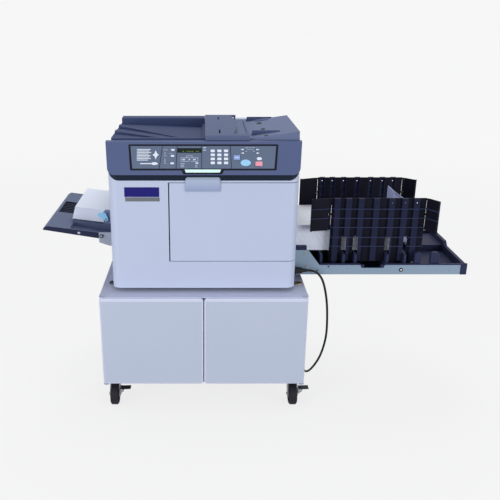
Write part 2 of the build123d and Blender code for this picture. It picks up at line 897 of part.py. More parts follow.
def adf_lid():
    """Scanner lid with the sheet output well, document ramp and feeder hinge posts."""
    ridges = output_ridges()
    with BuildPart() as lid:
        with BuildSketch(level(lid_low)) as plan:
            with Locations(((lid_left + lid_right) / 2, (lid_front + lid_back) / 2)):
                Rectangle(lid_right - lid_left, lid_back - lid_front)
            fillet(plan.vertices(), 8)
        extrude(amount=lid_thickness)
        bar_y = (lid_back - bar_depth, lid_back)
        block((lid_left + 2, feeder_left - 0.6), bar_y, (lid_top, lid_top + bar_height))
        bar = lid.faces().sort_by(Axis.Z)[-1]
        fillet(bar.edges().filter_by(Axis.X), 5)
        with BuildSketch(facing_y(bar_y[0])):
            floor_left, floor_right = lid_left + 8, feeder_left - 9
            Polygon(
                (floor_left, lid_top - 1),
                (floor_right, lid_top - well_depth),
                (floor_right, lid_top + 1),
                (floor_left, lid_top + 1),
            )
        extrude(amount=bar_y[0] - lid_front - 16, mode=Mode.SUBTRACT)
        add(ridges)
        with BuildSketch(facing_y(lid_back)):
            end = lid_right - 2
            Polygon((tray_start, lid_top), (end, lid_top), (end, ramp_z(end)))
        extrude(amount=lid_back - lid_front)
        post = 5.0
        for face, side in ((feeder_left + feeder_skin, 1), (feeder_rib_x, -1)):
            near = face + side * clearance
            ears = sorted((near, near + side * post))
            block(ears, (feeder_hinge_y - 3, feeder_hinge_y + 3), (lid_top, feeder_hinge_z + 2))
            length = post + clearance + feeder_skin - 0.5
            centre = (near + side * post - side * length / 2, feeder_hinge_y, feeder_hinge_z)
            rod("X", centre, feeder_pin, length)
        for side in (-1, 1):
            x = side * lid_hinge_x
            with BuildSketch(facing_x(x - lug_half)):
                with Locations((lid_hinge_y, lid_hinge_z)):
                    Circle(7)
                lug = (lid_back - 2, lid_hinge_y)
                with Locations((sum(lug) / 2, lid_hinge_z)):
                    Rectangle(lug[1] - lug[0], 14)
                with Locations((lid_hinge_y, lid_hinge_z)):
                    Circle(lid_pin_radius + running, mode=Mode.SUBTRACT)
            extrude(amount=2 * lug_half)
    keep(lid.part, "adf_lid")


def platen_pad():
    with BuildPart() as pad:
        block((-glass_half, glass_half), (-glass_depth + 4, glass_depth), (scanner_top + 0.4, lid_low))
    keep(pad.part, "platen_pad")


feeder_front = lid_front - 12
feeder_rear = lid_back - 2
feeder_front_z = lid_top + 11
feeder_rear_z = lid_top + 24
feeder_low = lid_top + 1.2


def feeder_cover():
    """Hinged cover over the feed rollers, cut back in an arc where sheets go in."""
    left, right = feeder_left, feeder_right
    inner_front = lid_front + feeder_skin
    inner_rear = feeder_rear - feeder_skin
    with BuildPart() as cover:
        with BuildSketch(facing_x(left)):
            Polygon(
                (feeder_front, panel_top + 1),
                (lid_front - 0.6, panel_top + 1),
                (lid_front - 0.6, feeder_low),
                (feeder_rear - 8, feeder_low),
                (feeder_rear, feeder_low + 9),
                (feeder_rear, feeder_rear_z - 3),
                (feeder_rear - 4, feeder_rear_z),
                (feeder_front + 5, feeder_front_z),
                (feeder_front, feeder_front_z - 3),
            )
        extrude(amount=right - left)
        with BuildSketch(facing_x(left + feeder_skin)):
            Polygon(
                (inner_front, feeder_low - 1),
                (inner_rear, feeder_low - 1),
                (inner_rear, feeder_rear_z - feeder_skin - 1),
                (inner_front, feeder_front_z - feeder_skin),
            )
        extrude(amount=right - left - 2 * feeder_skin, mode=Mode.SUBTRACT)
        with BuildSketch(level(lid_top + 4)):
            with BuildLine():
                ThreePointArc((98, inner_front + 16), (112, path_y - 20), (100, inner_rear - 16))
                Polyline((100, inner_rear - 16), (118, inner_rear - 16), (118, 300))
                Polyline((118, 300), (200, 300), (200, inner_front + 16), (98, inner_front + 16))
            make_face()
        extrude(amount=40, mode=Mode.SUBTRACT)
        for y in (-130, 90):
            block((50, 55), (y - 30, y + 30), (lid_top + 6, lid_top + 40), Mode.SUBTRACT)
        for face, side in ((left + feeder_skin, 1), (feeder_rib_x, -1)):
            relief = sorted((face, face + side * 7))
            behind = (feeder_hinge_y + 3.5, feeder_rear)
            block(relief, behind, (feeder_low, feeder_hinge_z + 8), Mode.SUBTRACT)
        rib = (feeder_rib_x, feeder_rib_x + feeder_skin)
        block(rib, (feeder_hinge_y - 5, inner_rear), (feeder_low + 6, feeder_rear_z - 4))
        block(rib, (feeder_hinge_y - 5, feeder_hinge_y + 3), (feeder_low, feeder_low + 6))
        for face, side in ((left, 1), (feeder_rib_x, 1)):
            centre = (face + feeder_skin / 2, feeder_hinge_y, feeder_hinge_z)
            rod("X", centre, feeder_pin + running, feeder_skin, Mode.SUBTRACT)
    keep(cover.part, "feeder_cover")


guide_skin = 3.0
guide_left = 157.0
guide_right = 252.0
guide_high = lid_top + 17


def document_guide(side, name):
    inner = path_y + side * document_width / 2
    outer = inner + side * guide_skin
    with BuildPart() as guide:
        with BuildSketch(facing_y(max(inner, outer))):
            Polygon(
                (guide_left, ramp_z(guide_left) + clearance),
                (guide_right, ramp_z(guide_right) + clearance),
                (guide_right, guide_high),
                (guide_left + 4, guide_high),
            )
        extrude(amount=guide_skin)
        foot_end = inner - side * 36
        with BuildSketch(facing_y(max(inner, foot_end))):
            Polygon(
                (190, ramp_z(190) + clearance),
                (235, ramp_z(235) + clearance),
                (235, ramp_z(235) + clearance + 2),
                (190, ramp_z(190) + clearance + 2),
            )
        extrude(amount=abs(foot_end - inner))
    keep(guide.part, name)


scanner_base()
platen_glass()
adf_lid()
platen_pad()
feeder_cover()
document_guide(-1, "document_guide_front")
document_guide(1, "document_guide_rear")

# Feed tray: rides on two steel brackets that slide on rods inside the machine


def rim_z(x):
    """Height of the feed tray's rim, which rises outwards."""
    return feed_rim_z - feed_slope * (x - feed_rim_x)


def bed_top(x):
    """Height of the raised bed under the paper."""
    return bed_z - feed_slope * (x - bed_left)


tray_end = -318.0
tray_low_tip = 640.0
tray_low_end = 603.0
bracket_left = -354.0


def tray_brackets():
    """Two steel brackets, each with a bush that runs on its elevator rod."""
    with BuildPart() as brackets:
        for y, side in ((bracket_front, -1), (bracket_back, 1)):
            with BuildSketch(facing_y(y + bracket_plate)):
                Polygon(
                    (bracket_left, 631),
                    (bracket_left, 596),
                    (bracket_left + 34, 584),
                    (rod_x + 12, 584),
                    (rod_x + 12, 631),
                )
            extrude(amount=bracket_plate)
            rod_y = (plate_front - rod_offset) if side < 0 else (plate_back + rod_offset)
            inner = plate_front - 2 if side < 0 else plate_back + 2
            outer = y + bracket_plate if side < 0 else y
            block((rod_x - 10, rod_x + 10), sorted((inner, outer)), (584, 631))
            rod("Z", (rod_x, rod_y, 607), rod_radius + running, 60, Mode.SUBTRACT)
            bolt = y - 1.5 if side < 0 else y + bracket_plate + 1.5
            rod("Y", (-345, bolt, 619), 6, 3)
    keep(brackets.part, "tray_brackets")


def feed_tray():
    """Shallow moulded tray with a raised paper bed and a ribbed finger recess."""
    outer_front = path_y - feed_half
    low_slope = (tray_low_end - tray_low_tip) / (tray_end - feed_tip)
    gutter_left = bed_left + 6
    with BuildPart() as tray:
        with BuildSketch(facing_y(path_y + feed_half)):
            Polygon(
                (feed_tip, tray_low_tip),
                (tray_end, tray_low_end),
                (tray_end, rim_z(tray_end)),
                (feed_rim_x, feed_rim_z),
                (feed_tip + 3, feed_rim_z - 6),
            )
        extrude(amount=2 * feed_half)
        corners = tray.edges().filter_by(Axis.Y).group_by(Axis.X)[0]
        fillet(corners, 1.5)

        def floor_z(x):
            return tray_low_tip + low_slope * (x - feed_tip) + 4

        for near, far in ((outer_front + 8, path_y - bed_half), (path_y + bed_half, path_y + feed_half - 8)):
            with BuildSketch(facing_y(far)):
                Polygon(
                    (gutter_left, floor_z(gutter_left)),
                    (tray_end, floor_z(tray_end)),
                    (tray_end, 700),
                    (gutter_left, 700),
                )
            extrude(amount=far - near, mode=Mode.SUBTRACT)
        with BuildSketch(facing_y(path_y + bed_half)):
            Polygon(
                (bed_left, bed_top(bed_left)),
                (bed_left, bed_top(bed_left) - 14),
                (tray_end, tray_low_end),
                (bed_right, tray_low_end - 12),
                (bed_right, bed_top(bed_right)),
            )
        extrude(amount=2 * bed_half)
        recess_x = (-524, -468)
        with BuildSketch(facing_y(112)):
            Polygon(
                (recess_x[0], rim_z(recess_x[0]) - 6),
                (recess_x[1], rim_z(recess_x[1]) - 6),
                (recess_x[1], 670),
                (recess_x[0], 670),
            )
        extrude(amount=140, mode=Mode.SUBTRACT)
        for y in range(-10, 110, 20):
            with BuildSketch(facing_y(y + 3)):
                Polygon(
                    (recess_x[0], rim_z(recess_x[0]) - 7),
                    (recess_x[1], rim_z(recess_x[1]) - 7),
                    (recess_x[1], rim_z(recess_x[1]) - 1.5),
                    (recess_x[0], rim_z(recess_x[0]) - 1.5),
                )
            extrude(amount=6)
    keep(tray.part, "feed_tray")


guide_x = (-350.0, -262.0)
lever_pin = (-340.0, 652.0)
lever_pin_radius = 3.0
lever_width = 7.0


def feed_guide(side, name):
    """Side fence for the blank paper, on a foot that slides over the bed."""
    inner = path_y + side * feed_paper_width / 2
    outer = inner + side * guide_skin
    foot_end = inner - side * 45
    left, right = guide_x
    with BuildPart() as guide:
        with BuildSketch(facing_y(max(inner, outer))):
            Polygon(
                (left, bed_top(left) + clearance),
                (right, bed_top(right) + clearance),
                (right, bed_top(right) + 50),
                (left + 8, bed_top(left) + 50),
                (left, bed_top(left) + 40),
            )
        extrude(amount=guide_skin)
        with BuildSketch(facing_y(max(inner, foot_end))):
            Polygon(
                (left, bed_top(left) + clearance),
                (right, bed_top(right) + clearance),
                (right, bed_top(right) + clearance + 2),
                (left, bed_top(left) + clearance + 2),
            )
        extrude(amount=abs(foot_end - inner))
        if side < 0:
            length = lever_width + 1.5
            centre = (lever_pin[0], outer - length / 2, lever_pin[1])
            rod("Y", centre, lever_pin_radius, length)
    keep(guide.part, name)


def feed_guide_lever():
    """Lock lever of the front feed guide, a blue paddle on a pin."""
    near = path_y - feed_paper_width / 2 - guide_skin - clearance
    with BuildPart() as lever:
        with BuildSketch(facing_y(near)) as side:
            with Locations(lever_pin):
                Circle(7)
            Polygon((-367, 672), (-369, 664), (-342, 645.5), (-334, 655), (-341, 673))
        extrude(amount=lever_width)
        centre = (lever_pin[0], near - lever_width / 2, lever_pin[1])
        rod("Y", centre, lever_pin_radius + running, 2 * lever_width, Mode.SUBTRACT)
    keep(lever.part, "feed_guide_lever")


tray_brackets()
feed_tray()
feed_guide(-1, "feed_guide_front")
feed_guide(1, "feed_guide_rear")
feed_guide_lever()

# Delivery tray: steel side frames, ribbed deck, two jogging fences and an end stop

deck_front = path_y - deck_half
deck_back = path_y + deck_half
steel_right = 896.0
bracket_high = 555.0


def delivery_frames():
    """Two pressed side frames, each a channel with a bracket at the machine's end."""
    with BuildPart() as frames:
        for outer, side in ((deck_front - frame_steel, 1), (deck_back + frame_steel, -1)):
            face = outer + frame_steel if side > 0 else outer
            with BuildSketch(facing_y(face)):
                Polygon(
                    (body_half, channel_low),
                    (steel_right, channel_low),
                    (steel_right, deck_rim),
                    (notch[1], deck_rim),
                    (notch[1] - 4, 489),
                    (notch[0] + 4, 489),
                    (notch[0], deck_rim),
                    (rim_left - 1.5, deck_rim),
                    (362, bracket_high),
                    (body_half, bracket_high),
                )
            extrude(amount=frame_steel)
            flange = sorted((outer + side * frame_steel, outer + side * 16))
            block((body_half, steel_right), flange, (channel_low, channel_low + frame_steel))
            block((body_half, body_half + frame_steel), flange, (channel_low, bracket_high))
    keep(frames.part, "delivery_frames")


def delivery_deck():
    """Moulded tray with upright ribs that hold the paper clear of the fence feet."""
    floor = deck_floor - 4
    with BuildPart() as deck:
        block((deck_left, deck_right), (deck_front, deck_back), (floor, deck_rim))
        inside = (deck_front + 4, deck_back - 4)
        block((deck_left + 4, deck_right - 12), inside, (deck_floor, deck_rim), Mode.SUBTRACT)
        with BuildSketch(facing_x(deck_right - 12)):
            Polygon(
                (30, deck_rim),
                (46, deck_rim + 15),
                (deck_back - 14, deck_rim + 15),
                (deck_back, deck_rim),
            )
        extrude(amount=12)
        for x in (lone_rib_x,) + comb_xs:
            block((x - 4, x + 4), (deck_front + 10, deck_back - 10), (floor, rib_top))
        for x in foot_xs:
            block((x - 9, x + 9), inside, (floor, deck_floor + 14))
        block((deck_left, deck_left + 4), (deck_front, deck_back), (deck_rim, exit_z[0] - 4))
        for side in (-1, 1):
            edge = path_y + side * deck_half
            span = sorted((edge, edge - side * 17))
            block((deck_left, 356), span, (bracket_high, bracket_high + 13))
            block((deck_left, deck_left + 4), span, (deck_rim, bracket_high + 13))
        block((steel_right + 1, deck_right), (deck_front - 4, deck_front), (channel_low, deck_rim))
        block((steel_right + 1, deck_right), (deck_back, deck_back + 4), (channel_low, deck_rim))
        block((770, deck_right - 12), (55, deck_back - 4), (floor, deck_floor + 24))
        for x, half in ((746, 11), (806, 15.5)):
            with BuildSketch(facing_y(deck_front + 18)) as post:
                with Locations((x, 506)):
                    Rectangle(2 * half, 76)
                fillet(post.vertices().group_by(Axis.Y)[-1], half * 0.8)
            extrude(amount=14)
        for edge, side in ((deck_front, -1), (deck_back, 1)):
            lip = sorted((edge + side * (frame_steel + 0.8), edge - side * 4))
            for span in ((rim_left, notch[0]), (notch[1], deck_right)):
                block(span, lip, (deck_rim, deck_rim + rim_lip))
        block((560, 618), (deck_front, deck_front + 4), (deck_rim - 12, deck_rim), Mode.SUBTRACT)
    keep(deck.part, "delivery_deck")


flap_reach = {"left": 68.0, "right": 52.0}
flap_rest = {
    "front_left": 190.2,
    "front_right": 301.5,
    "rear_left": 201.0,
    "rear_right": 314.3,
}
flap_gap = 5.0
flap_pin = 1.6
flap_barrel = 3.6
fence_lugs = (617.0, 670.0, 723.0)
lug_high = 6.0
lug_play = 1.0
rib_proud = 0.8
rib_levels = (559.0, 592.0, 628.0, 661.0, 694.0)


def fence_plane(side):
    """The y of a fence's paper face, and of its skin's outer face."""
    inner = path_y + side * (delivery_paper_width / 2 + paper_play)
    return inner, inner + side * fence_skin


def hinge_axis(side, end):
    """Where a fence's end flap turns."""
    inner, outer = fence_plane(side)
    x = fence_left - flap_gap if end == "left" else fence_right + flap_gap
    return x, (inner + outer) / 2


def fence(side, name):
    """Jogging fence: a skin with seven outward channels, comb slots and cross ribs."""
    inner, outer = fence_plane(side)
    channel = 8.0
    with BuildPart() as fence:
        block((fence_left, fence_right), sorted((inner, outer)), (fence_low, fence_high))
        depth = sorted((inner, outer + side * channel))
        for x in channel_xs:
            block((x - 10, x + 10), depth, (fence_low + 4, fence_high))
        hollow = sorted((inner, outer + side * (channel - 2.5)))
        for x in channel_xs:
            block((x - 7.5, x + 7.5), hollow, (fence_low + 4, fence_high - 2.5), Mode.SUBTRACT)
        shallow = sorted((outer, outer + side * (channel - 2)))
        proud = sorted((outer + side * (channel - 2), outer + side * (channel + rib_proud)))
        for z in rib_levels:
            tall = (z - 1.2, z + 1.2)
            for a, b in zip(channel_xs, channel_xs[1:]):
                block((a + 10, b - 10), shallow, tall)
            block((fence_left, channel_xs[0] - 10), shallow, tall)
            block((channel_xs[-1] + 10, fence_right), shallow, tall)
            block((channel_xs[0] - 10, channel_xs[-1] + 10), proud, tall)
        through = sorted((inner, outer + side * (channel + rib_proud)))
        for x in comb_xs:
            block((x - 7.5, x + 7.5), through, (fence_low, 594), Mode.SUBTRACT)
        for x in channel_xs:
            rod("Y", (x, outer + side * 6, 716), 2, 8, Mode.SUBTRACT)
        foot = sorted((inner - side * 9, outer + side * channel))
        for x in foot_xs:
            block((x - 7, x + 7), foot, (deck_floor + 14 + clearance, fence_low + 8))
        for end in ("left", "right"):
            x, y = hinge_axis(side, end)
            edge = fence_left if end == "left" else fence_right
            for z in fence_lugs:
                rod("Z", (x, y, z + lug_high / 2), flap_barrel, lug_high)
                block(sorted((x, edge)), (y - 1.5, y + 1.5), (z, z + lug_high))
            low, high = fence_lugs[0], fence_lugs[-1] + lug_high
            rod("Z", (x, y, (low + high) / 2), flap_pin, high - low)
    keep(fence.part, name)


def flap(side, end, place):
    """End flap of a fence, on the vertical pin at the fence's end."""
    x, y = hinge_axis(side, end)
    turn = radians(flap_rest[place])
    reach = flap_reach[end]
    rib_side = -side if end == "left" else side
    with BuildPart(Plane(origin=(x, y, 0), x_dir=(cos(turn), sin(turn), 0), z_dir=(0, 0, 1))) as leaf:
        block((flap_gap, reach), (-1.5, 1.5), (flap_low, fence_high - 1))
        ribs = sorted((rib_side * 1.5, rib_side * 7.5))
        for z in rib_levels[-2:]:
            block((flap_gap + 4, reach), ribs, (z - 1.2, z + 1.2))
        block((reach - 3, reach), ribs, (flap_low, fence_high - 1))
        for below, above in zip(fence_lugs, fence_lugs[1:]):
            low, high = below + lug_high + lug_play, above - lug_play
            rod("Z", (0, 0, (low + high) / 2), flap_barrel, high - low)
            block((0, flap_gap + 1), (-1.5, 1.5), (low, high))
        middle = (flap_low + fence_high) / 2
        rod("Z", (0, 0, middle), flap_pin + running, 140, Mode.SUBTRACT)
    keep(leaf.part, f"flap_{place}")


def end_stop():
    """Sheet stop: an upright face with a gusset, on a shoe that slides on the ribs."""
    shoe = rib_top + clearance
    with BuildPart() as stop:
        block((stop_face, stop_face + 3), (path_y - 40, path_y + 40), (shoe, stop_high))
        block((stop_face - 4, stop_face + 70), (path_y - 40, path_y + 40), (shoe, shoe + 8))
        with BuildSketch(facing_y(path_y + 1.5)):
            Polygon(
                (stop_face, stop_high),
                (stop_face, shoe + 8),
                (stop_face + 69, shoe + 8),
                (stop_face + 69, stop_high - 49),
            )
        extrude(amount=3)
        with BuildSketch(facing_y(path_y + 6)):
            Polygon(
                (stop_face, stop_high),
                (stop_face, stop_high - 4),
                (stop_face + 69, stop_high - 53),
                (stop_face + 69, stop_high - 49),
            )
        extrude(amount=12)
    keep(stop.part, "end_stop")


delivery_frames()
delivery_deck()
fence(-1, "fence_front")
fence(1, "fence_rear")
for side, edge in ((-1, "front"), (1, "rear")):
    for end in ("left", "right"):
        flap(side, end, f"{edge}_{end}")
end_stop()

# Mains lead: inlet, moulded connector, lead, its put-away coil and the wall plug

flange = 1.5
connector_end = body_half + 32.0
relief_end = body_half + 50.0
lead_radius = lead_diameter / 2


def inlet():
    with BuildPart() as socket:
        block((body_half, body_half + flange), (inlet_y - 17, inlet_y + 17), (inlet_z - 14, inlet_z + 14))
        deep = (body_half - socket_depth - 4, body_half)
        wide = inlet_cut[0] / 2 - clearance
        tall = inlet_cut[1] / 2 - clearance
        block(deep, (inlet_y - wide, inlet_y + wide), (inlet_z - tall, inlet_z + tall))
        cavity = (body_half - socket_depth, body_half + flange)
        block(cavity, (inlet_y - 12.2, inlet_y + 12.2), (inlet_z - 8.4, inlet_z + 8.4), Mode.SUBTRACT)
    keep(socket.part, "inlet")


def connector():
    """Moulded connector with a tapered relief where the lead leaves it."""
    face = body_half + flange
    with BuildPart() as body:
        nose = (body_half - socket_depth, face)
        block(nose, (inlet_y - 12, inlet_y + 12), (inlet_z - 8.2, inlet_z + 8.2))
        with BuildSketch(facing_x(face)):
            with Locations((inlet_y, inlet_z)):
                RectangleRounded(27, 21, 5)
        with BuildSketch(facing_x(connector_end)):
            with Locations((inlet_y, inlet_z)):
                RectangleRounded(20, 17, 6)
        loft()
        with BuildSketch(facing_x(connector_end)):
            with Locations((inlet_y, inlet_z)):
                Circle(7.5)
        with BuildSketch(facing_x(relief_end)):
            with Locations((inlet_y, inlet_z)):
                Circle(lead_radius + 0.8)
        loft()
    keep(body.part, "connector")


# The lead's route from the connector down to the floor and round behind the cabinet
lead_route = (
    (relief_end, inlet_y, inlet_z),
    (relief_end + 14, inlet_y, inlet_z),
    (386.3, -190, 482.6),
    (400, -189.8, 472.6),
    (414, -189.3, 452),
    (426, -188, 413.5),
    (436.5, -183, 359),
    (443, -173, 296),
    (447, -160, 226),
    (443, -141, 163),
    (434, -119, 106),
    (420, -101, 64),
    (408, -85, 35),
    (399, -65, 15.5),
    (394, -41, 5.6),
    (391, -7, lead_z),
    (393, 42, lead_z),
    (399, 100, lead_z),
    (404, 165, lead_z),
    (405, 228, lead_z),
    (401, 290, lead_z),
    (388, 346, lead_z),
    (356, 397, lead_z),
    (312, coil_y + coil_radius, lead_z),
    (coil_x + lead_diameter, coil_y + coil_radius, lead_z),
)


def turn_at(a, b, c):
    """How far a route turns at b, in degrees."""
    return (Vector(*b) - Vector(*a)).get_angle(Vector(*c) - Vector(*b))


def route_radii(route):
    """One radius for each corner, as large as its two runs allow."""
    radii = []
    for a, b, c in zip(route, route[1:], route[2:]):
        shorter = min((Vector(*b) - Vector(*a)).length, (Vector(*c) - Vector(*b)).length)
        radii.append(0.45 * shorter / tan(radians(turn_at(a, b, c)) / 2))
    return radii


def lead():
    radii = route_radii(lead_route)
    start = Vector(*lead_route[0])
    with BuildPart() as tube:
        with BuildLine() as line:
            FilletPolyline(*lead_route, radius=radii)
        heading = Vector(*lead_route[1]) - start
        with BuildSketch(Plane(origin=start, z_dir=heading)):
            Circle(lead_radius)
        sweep(path=line.wires()[0])
    keep(tube.part, "cord")
    length = line.wires()[0].length
    print("lead: least radius", round(min(radii)), "of", [round(r) for r in radii])
    print("lead: length", round(length), "volume ratio",
          round(tube.part.volume / (pi * lead_radius**2 * length), 4))
    return length


def coil_arcs():
    """Half turns as (start, middle, end), spiralling in, then out one layer up."""
    arcs = []
    y = coil_y + coil_radius
    side = 1
    step = coil_pitch / 2
    for layer, radii in enumerate((
        [coil_radius - step * i for i in range(4)],
        [coil_radius - step * i for i in range(3, -1, -1)],
    )):
        z = lead_z + layer * coil_pitch
        if layer:
            climb = coil_radius - step * 4
            start = (coil_x, y, z - coil_pitch)
            y -= side * 2 * climb
            arcs.append((start, None, (coil_x, y, z)))
            side = -side
        for radius in radii:
            start = (coil_x, y, z)
            middle = (coil_x - side * radius, y - side * radius, z)
            y -= side * 2 * radius
            arcs.append((start, middle, (coil_x, y, z)))
            side = -side
    return arcs


def coil():
    """The put-away length, wound flat in two layers as one unbroken tube."""
    arcs = coil_arcs()
    first = Vector(*arcs[0][0])
    last = Vector(*arcs[-1][2])
    with BuildPart() as loops:
        with BuildLine() as line:
            Line(first + Vector(lead_diameter, 0, 0), first)
            for start, middle, end in arcs:
                a, b = Vector(*start), Vector(*end)
                if middle:
                    ThreePointArc(a, middle, b)
                else:
                    half = (b - a).length / 2
                    bulge = Vector(-half, 0, 0)
                    join = (a + b) / 2 + bulge
                    TangentArc(a, join, tangent=Vector(-1, 0, 0))
                    TangentArc(join, b, tangent=b - a)
            Line(last, last + Vector(lead_diameter, 0, 0))
        begin = first + Vector(lead_diameter, 0, 0)
        with BuildSketch(Plane(origin=begin, z_dir=(-1, 0, 0))):
            Circle(lead_radius)
        sweep(path=line.wires()[0])
    keep(loops.part, "coil")
    wire = line.wires()[0]
    steps = 600
    points = [wire.position_at(i / steps) for i in range(steps + 1)]
    apart = int(1.5 * pi * coil_radius / (wire.length / steps))
    gap = min(
        (points[i] - points[j]).length
        for i in range(0, steps + 1, 3)
        for j in range(i + apart, steps + 1)
    )
    print("coil: length", round(wire.length), "least gap", round(gap - lead_diameter, 2),
          "volume ratio", round(loops.part.volume / (pi * lead_radius**2 * wire.length), 4))
    return wire.length


def plug():
    """Wall plug lying flat beside the coil, with two round pins."""
    start = coil_arcs()[-1][2]
    x, y, z = start[0] + lead_diameter, start[1], start[2]
    with BuildPart() as body:
        for a, b, near, far in ((x, x + 24, lead_radius + 0.3, 6), (x + 24, x + 36, 7, 12)):
            with BuildSketch(facing_x(a)):
                with Locations((y, z)):
                    Circle(near)
            with BuildSketch(facing_x(b)):
                with Locations((y, z)):
                    Circle(far)
            loft()
        with BuildSketch(facing_x(x + 36)):
            with Locations((y, z)):
                RectangleRounded(30, 2 * z - 0.1, 8)
        extrude(amount=22)
        for offset_y in (-9.5, 9.5):
            rod("X", (x + 67, y + offset_y, z), 2.4, 19)
    keep(body.part, "plug")


def hinge_pins():
    """Every turned hinge pin of the cabinet, the front door and the scanner lid."""
    with BuildPart() as group:
        for axis, centre, radius, length in pins:
            rod(axis, centre, radius, length)
    keep(group.part, "hinge_pins")


inlet()
connector()
free_length = lead()
coil_length = coil()
plug()
hinge_pins()
print("whole lead", round(free_length + coil_length), "mm")
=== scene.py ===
import math

import bmesh
import bpy
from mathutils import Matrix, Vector


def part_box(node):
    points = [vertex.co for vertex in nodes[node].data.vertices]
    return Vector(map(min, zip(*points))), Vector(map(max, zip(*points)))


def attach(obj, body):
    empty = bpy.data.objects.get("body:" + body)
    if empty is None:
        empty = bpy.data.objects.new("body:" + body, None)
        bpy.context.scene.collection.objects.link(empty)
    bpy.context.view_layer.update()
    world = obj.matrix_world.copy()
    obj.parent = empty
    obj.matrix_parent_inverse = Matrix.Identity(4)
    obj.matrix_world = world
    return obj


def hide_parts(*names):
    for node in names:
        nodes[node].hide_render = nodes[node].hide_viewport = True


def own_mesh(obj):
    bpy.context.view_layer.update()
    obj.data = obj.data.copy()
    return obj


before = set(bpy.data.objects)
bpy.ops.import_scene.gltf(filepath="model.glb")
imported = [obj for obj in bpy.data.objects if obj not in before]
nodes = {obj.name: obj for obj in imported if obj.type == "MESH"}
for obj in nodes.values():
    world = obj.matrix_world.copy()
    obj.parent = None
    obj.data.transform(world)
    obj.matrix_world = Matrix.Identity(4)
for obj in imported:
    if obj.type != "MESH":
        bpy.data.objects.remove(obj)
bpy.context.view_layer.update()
scene = bpy.context.scene

# The camera stands where the photograph was taken from: straight in front of the
# machine's middle, at about chest height, and tilted down at the scanner's lid. A
# sideways shift leaves room in the frame for the delivery tray.

downward_tilt = 19.73
focal_pixels = 663.6
middle_pixel = 203.8
frame_pixels = 500
sensor_millimetres = 36.0
camera_place = (0.0, -2.3318, 1.3302)

camera_data = bpy.data.cameras.new("camera")
camera_data.sensor_width = sensor_millimetres
camera_data.lens = focal_pixels / frame_pixels * sensor_millimetres
camera_data.shift_x = (frame_pixels / 2 - middle_pixel) / frame_pixels
camera = bpy.data.objects.new("camera", camera_data)
camera.location = camera_place
camera.rotation_euler = (math.radians(90 - downward_tilt), 0.0, 0.0)
scene.collection.objects.link(camera)
scene.camera = camera
scene.view_settings.view_transform = "Standard"

# A plain studio: a wide pale floor that runs into a backdrop of the same tone, a soft
# lamp high behind the machine, one at each side in front, and even light all round.


def linear(level):
    """One 0 to 255 display level as the light that it stands for."""
    value = level / 255
    return value / 12.92 if value <= 0.04045 else ((value + 0.055) / 1.055) ** 2.4


def tone(red, green, blue):
    """A display colour as a shader colour."""
    return (linear(red), linear(green), linear(blue), 1.0)


def grey(level):
    """A neutral shader colour."""
    return (level, level, level, 1.0)


class Field:
    """A value that changes over a surface, such as a mask, a height or a colour."""

    def __init__(self, finish, socket):
        self.finish = finish
        self.socket = socket

    def math(self, operation, *values):
        return self.finish.node("ShaderNodeMath", {"operation": operation}, dict(enumerate(values)))

    def __add__(self, other):
        return self.math("ADD", self, other)

    def __sub__(self, other):
        return self.math("SUBTRACT", self, other)

    def __rsub__(self, other):
        return self.math("SUBTRACT", other, self)

    def __mul__(self, other):
        return self.math("MULTIPLY", self, other)

    def __truediv__(self, other):
        return self.math("DIVIDE", self, other)

    def __gt__(self, other):
        return self.math("GREATER_THAN", self, other)

    def __lt__(self, other):
        return self.math("LESS_THAN", self, other)

    def __abs__(self):
        return self.math("ABSOLUTE", self)

    def most(self, other):
        return self.math("MAXIMUM", self, other)

    __radd__ = __add__
    __rmul__ = __mul__


class Finish:
    """One material, built up from fields on the piece's own coordinates."""

    def __init__(self, name, holder=None):
        """Starts a new material, or the world's light where that is the holder."""
        self.material = holder or bpy.data.materials.new(name)
        self.material.use_nodes = True
        self.tree = self.material.node_tree
        self.tree.nodes.clear()

    def node(self, kind, settings=None, sockets=None, out=0):
        """Adds a node, sets it, links its sockets and gives one of its outputs."""
        made = self.tree.nodes.new(kind)
        for key, value in (settings or {}).items():
            if key == "stops":
                ramp = made.color_ramp.elements
                while len(ramp) < len(value):
                    ramp.new(0.5)
                for element, (place, colour) in zip(ramp, value):
                    element.position = place
                    element.color = colour
            else:
                setattr(made, key, value)
        for key, value in (sockets or {}).items():
            if isinstance(value, Field):
                self.tree.links.new(value.socket, made.inputs[key])
            else:
                made.inputs[key].default_value = value
        return Field(self, made.outputs[out]) if made.outputs else None

    def place(self):
        return self.node("ShaderNodeTexCoord", out="Object")

    def along(self, axis):
        """A point's x, y or z, as axis 0, 1 or 2."""
        return self.node("ShaderNodeSeparateXYZ", sockets={0: self.place()}, out=axis)

    def stretched(self, scale):
        return self.node("ShaderNodeMapping", sockets={"Vector": self.place(), "Scale": scale})

    def noise(self, scale, detail=2.0, vector=None, rough=0.5):
        return self.node("ShaderNodeTexNoise", sockets={
            "Vector": vector or self.place(), "Scale": scale, "Detail": detail,
            "Roughness": rough})

    def mix(self, factor, first, second):
        return self.node("ShaderNodeMix", {"data_type": "RGBA"}, {0: factor, 6: first, 7: second},
                         out=2)

    def bump(self, height, depth):
        return self.node("ShaderNodeBump", sockets={
            "Height": height, "Distance": depth, "Strength": 1.0})

    def surface(self, colour, roughness, normal=None, **fixed):
        sockets = {"Base Color": colour, "Roughness": roughness}
        if normal:
            sockets["Normal"] = normal
        for key, value in fixed.items():
            sockets[key.replace("_", " ").title().replace("Ior", "IOR")] = value
        shader = self.node("ShaderNodeBsdfPrincipled", sockets=sockets)
        self.finish(shader)
        return self.material

    def finish(self, shader):
        self.node("ShaderNodeOutputMaterial", sockets={"Surface": shader})


def any_of(masks):
    """One where any of the masks is one."""
    whole, *others = masks
    for mask in others:
        whole = whole.most(mask)
    return whole


